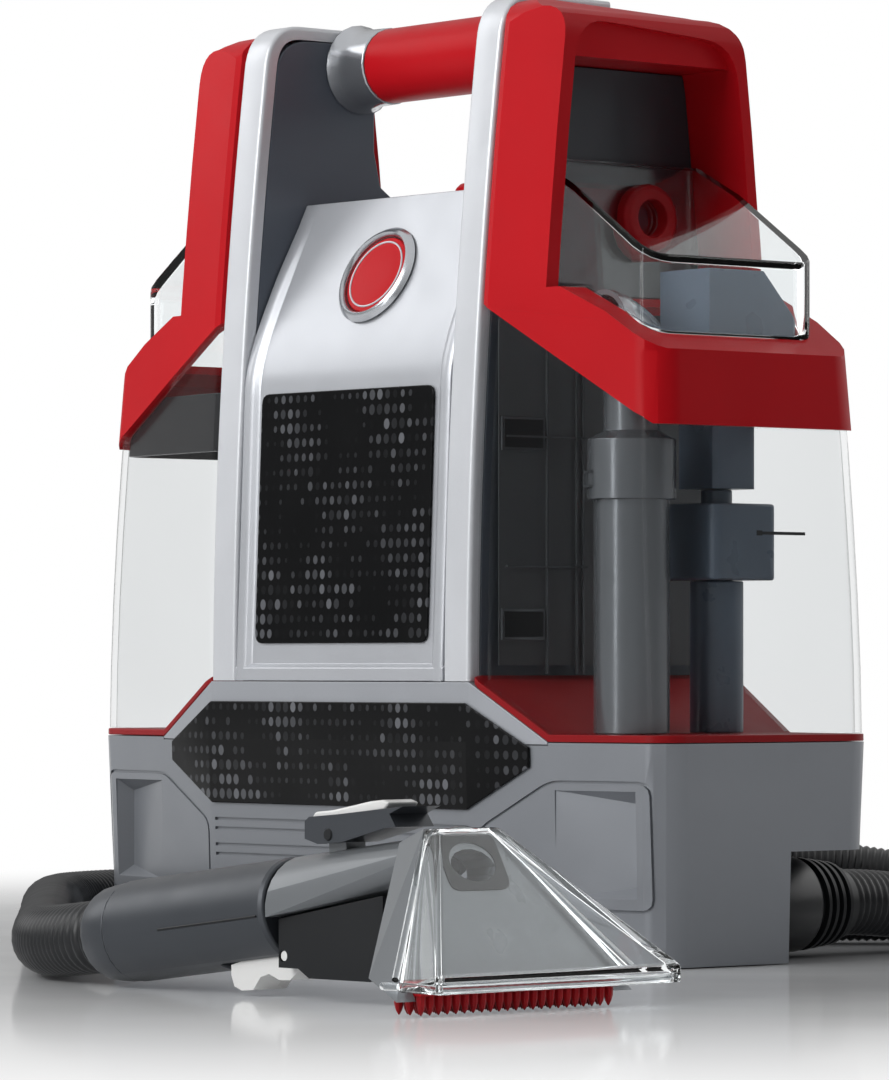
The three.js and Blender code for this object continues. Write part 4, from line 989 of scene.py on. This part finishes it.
def make_latch_pad():
    """The white thumb pad on the latch and the dark heads of its pivot pin."""
    pad = piece("latch_pad", *rings_between([
        [tool_mm(LATCH_X + x, y, LATCH_Z + z) for x, z in PAD_OUTLINE]
        for y in (-PAD_HALF, -PAD_INNER, PAD_INNER, PAD_HALF)]))
    soften(pad, PAD_EDGE * MM)
    finish_piece(pad, "latch", "white_plastic")
    for side, letter in SIDES_OF_TOOL:
        head = turned(
            f"latch_pin_{letter}", PIN_HEAD, tool_mm(LATCH_X, side * PIN_FACE, LATCH_Z),
            TOOL_TURN @ Vector((0, side, 0)), PIN_SIDES)
        finish_piece(head, "latch", "black_plastic")


HANDLE_RADIUS = 16.5
LINE_SUNK = 0.12
LINE_BELOW = 1.6
LINE_STRETCH = range(28, 78, 3)
LINE_RADIUS = 0.42


def make_handle_line():
    """The parting line along both sides of the tool's handle."""
    for side, letter in SIDES_OF_TOOL:
        line = [
            along_handle(s * MM, side * (HANDLE_RADIUS - LINE_SUNK) * MM, -LINE_BELOW * MM)
            for s in LINE_STRETCH]
        bead(f"handle_line_{letter}", line, LINE_RADIUS, "root", "black_plastic", 6)


# ---- Hose connector, in millimetres: radii and distances from the body's side ----
CONNECTOR_START, CONNECTOR_END = 2.5, 66
CONNECTOR_BORE = 9.2
CONNECTOR_BODY = (
    (CONNECTOR_BORE, CONNECTOR_START), (12, CONNECTOR_START), (12, 10.8), (16, 10.8), (16, 18.5),
    (17, 19.5), (17, 44), (16.4, 45),
)
CONNECTOR_SIDES = 64
CONNECTOR_RIBS = 4
RIBS_FROM, RIB_SPACING = 46, 4
RIB_RADIUS, RIB_TAPER, RIB_CUT = 16.6, 0.5, 1.6
CONNECTOR_NOSE = ((13.4, 62.4), (13, CONNECTOR_END), (CONNECTOR_BORE, CONNECTOR_END))


def make_connector():
    """The hose connector with its turned ribs."""
    profile = list(CONNECTOR_BODY)
    for i in range(CONNECTOR_RIBS):
        y = RIBS_FROM + i * RIB_SPACING
        rib = RIB_RADIUS - i * RIB_TAPER
        profile += [
            (rib - RIB_CUT, y), (rib - RIB_CUT, y + 1.2), (rib, y + 1.8), (rib, y + 3.2),
            (rib - RIB_TAPER, y + 3.6)]
    profile += CONNECTOR_NOSE
    shape = turned(
        "hose_connector_shape", [(r * MM, (y - CONNECTOR_END) * MM) for r, y in profile],
        CONNECTOR, (0, 1, 0), CONNECTOR_SIDES)
    finish_piece(shape, "root", "black_plastic", replaces=["hose_connector"])


# ---- Back ----
SCREWS = ((-48, 108), (48, 108), (-48, 238), (48, 238))
SCREW_SIDES = 28
SCREW_HEAD = (  # in metres
    (0, -0.0006), (0.0008, -0.0006), (0.0012, 0.0002), (0.003, 0.0002), (0.0034, -0.0002),
    (0.0034, -0.001), (0, -0.001),
)


def make_screws():
    """Screw heads with a recess, at the corners of the rear cover."""
    for k, (x, z) in enumerate(SCREWS):
        head = turned(f"screw_{k}", SCREW_HEAD, mm(x, front_at(z), z), (0, 1, 0), SCREW_SIDES)
        finish_piece(head, "root", "steel")


# ---- CAD shapes shown refined ----
# The width of each one's rounded edges in millimetres
EDGES = {
    "base_housing": 0.4, "base_saddle": 0.4, "base_plate": 0.4, "front_band": 0.3,
    "front_panel": 0.5, "label_plate": 0.25, "side_frame_left": 0.5, "side_frame_right": 0.5,
    "top_deck": 0.6, "rear_cover": 0.4, "handle_grip": 0.4, "handle_sleeve_left": 0.5,
    "handle_sleeve_right": 0.5, "power_button": 0.6, "power_cord_gland": 0.5,
    "dirty_tank_body": 0.4, "dirty_tank_frame": 2.0, "dirty_tank_tray": 0.5,
    "dirty_tank_liner": 0.4, "dirty_tank_dome": 0.5, "standpipe": 0.4, "float_post": 0.5,
    "float": 0.9, "float_cage": 1.2, "outlet_seal": 0.5, "clean_tank_body": 0.4,
    "clean_tank_frame": 2.0, "clean_tank_tray": 0.5, "clean_tank_liner": 0.4,
    "clean_tank_dome": 0.5, "clean_tank_valve": 0.4, "clean_tank_cap": 0.5,
    "clean_tank_collar": 0.3, "tool_cuff": 0.5, "tool_handle": 0.6, "tool_head": 0.8,
    "tool_valve": 0.7, "trigger": 0.8, "latch": 0.8, "tool_hood": 2.0, "foot_front_left": 0.4,
    "foot_front_right": 0.4, "foot_rear_left": 0.4, "foot_rear_right": 0.4,
}
OWN_MATERIAL = {
    "base_saddle": SADDLE_GREY, "side_frame_left": SIDE_GREY, "side_frame_right": SIDE_GREY,
    "handle_sleeve_left": CHROME, "handle_sleeve_right": CHROME, "clean_tank_collar": COLLAR,
    "tool_head": GUNMETAL, "tool_hood": CLEAR, "dirty_tank_dome": CLEAR, "clean_tank_dome": CLEAR,
}

# ---- Floor and light ----
FLOOR_HALF = 8
FLOOR_Z = -0.0004
FLOOR_COLORS = ((0.84, 0.85, 0.865), (0.86, 0.87, 0.88))
WHITE_FROM, WHITE_TO = 0.25, 0.85  # distances from the middle over which the floor turns white
# A direction, how far along it the change starts and ends, and the level at both ends
WORLD_LIGHT = ((-0.75, -0.15, 0.6), -0.6, 0.8, 0.04, 0.42)
WORLD_GLOSS = ((-0.1, -0.2, 0.97), 0.0, 0.8, 0.12, 1.0)
# A name, the place, what it is aimed at, the two sides and the watts
LAMPS = (
    ("key", (-0.2, -2.4, 1.4), (0, 0, 0.15), (1.8, 1.6), 43),
    ("left", (-2.0, -1.0, 1.3), (0, 0, 0.15), (1.0, 1.2), 8),
    ("strip", (0.05, -2.2, 0.6), (0, 0, 0.2), (0.3, 1.2), 5),
    ("back", (0.5, 2.0, 1.1), (0, 0, 0.2), (2.4, 1.6), 17),
)


def make_stage():
    """A glossy pale floor that turns to plain white away from the machine."""
    corners = [
        (x * FLOOR_HALF, y * FLOOR_HALF, FLOOR_Z) for x, y in ((-1, -1), (1, -1), (1, 1), (-1, 1))]
    floor = piece("floor", corners, [(0, 1, 2, 3)])
    s = Shader("floor")
    s.color(s.mix(s.spread(s.noise(2), 0, 1), *FLOOR_COLORS))
    s.roughness(8, 3, low=0.07, high=0.11)
    s.set(Specular_IOR_Level=0.4)
    away = s.add("ShaderNodeVectorMath", operation="LENGTH")
    s.link(s.place, away.inputs[0])
    far = s.spread(away.outputs["Value"], 0, 1, WHITE_FROM, WHITE_TO, "SMOOTHSTEP")
    path, plain = s.plainly_seen()
    seen = s.maths("MAXIMUM", plain, path.outputs["Is Glossy Ray"])
    s.blend(s.maths("MULTIPLY", far, seen), s.bsdf, s.add("ShaderNodeEmission"))
    floor.data.materials.append(s.material)


def make_lamp(name, place, aim, size, watts):
    data = bpy.data.lights.new(name, "AREA")
    data.shape = "RECTANGLE"
    data.size, data.size_y = size
    data.energy = watts
    lamp = add_object(name, data)
    lamp.location = place
    lamp.rotation_euler = (Vector(aim) - Vector(place)).to_track_quat("-Z", "Y").to_euler()


def make_world():
    """Plain white where it is seen, and dimmer towards the right as light."""
    world = bpy.data.worlds.new("studio")
    scene.world = world
    world.use_nodes = True
    t = Tree(world.node_tree)
    place = t.add("ShaderNodeTexCoord").outputs["Generated"]

    def across(direction, start, end, low, high):
        along = t.add("ShaderNodeVectorMath", operation="DOT_PRODUCT")
        along.inputs[1].default_value = direction
        t.link(place, along.inputs[0])
        return t.spread(along.outputs["Value"], low, high, start, end)

    path, plain = t.plainly_seen()
    glossy = t.maths("MULTIPLY", path.outputs["Is Glossy Ray"], across(*WORLD_GLOSS))
    seen = t.maths("MAXIMUM", plain, glossy)
    background = t.tree.nodes["Background"]
    background.inputs["Color"].default_value = (1.0, 1.0, 1.0, 1)
    t.link(t.maths("MAXIMUM", seen, across(*WORLD_LIGHT)), background.inputs["Strength"])


for node, width in EDGES.items():
    stand_in(node, width, OWN_MATERIAL.get(node))
make_uprights()
make_panel_rim()
make_badge()
make_fill_line()
make_tank_ribs()
make_elbow()
make_catch()
make_brush()
make_mouth_shade()
make_hood_beads()
make_latch_pad()
make_handle_line()
make_connector()
make_screws()
make_hose()
for node, mesh in nodes.items():
    if not mesh.hide_render:
        mesh.data.materials.clear()
        mesh.data.materials.append(MATERIALS[slot_of[node]])
make_stage()
make_world()
for lamp in LAMPS:
    make_lamp(*lamp)
scene.view_settings.view_transform = "Standard"
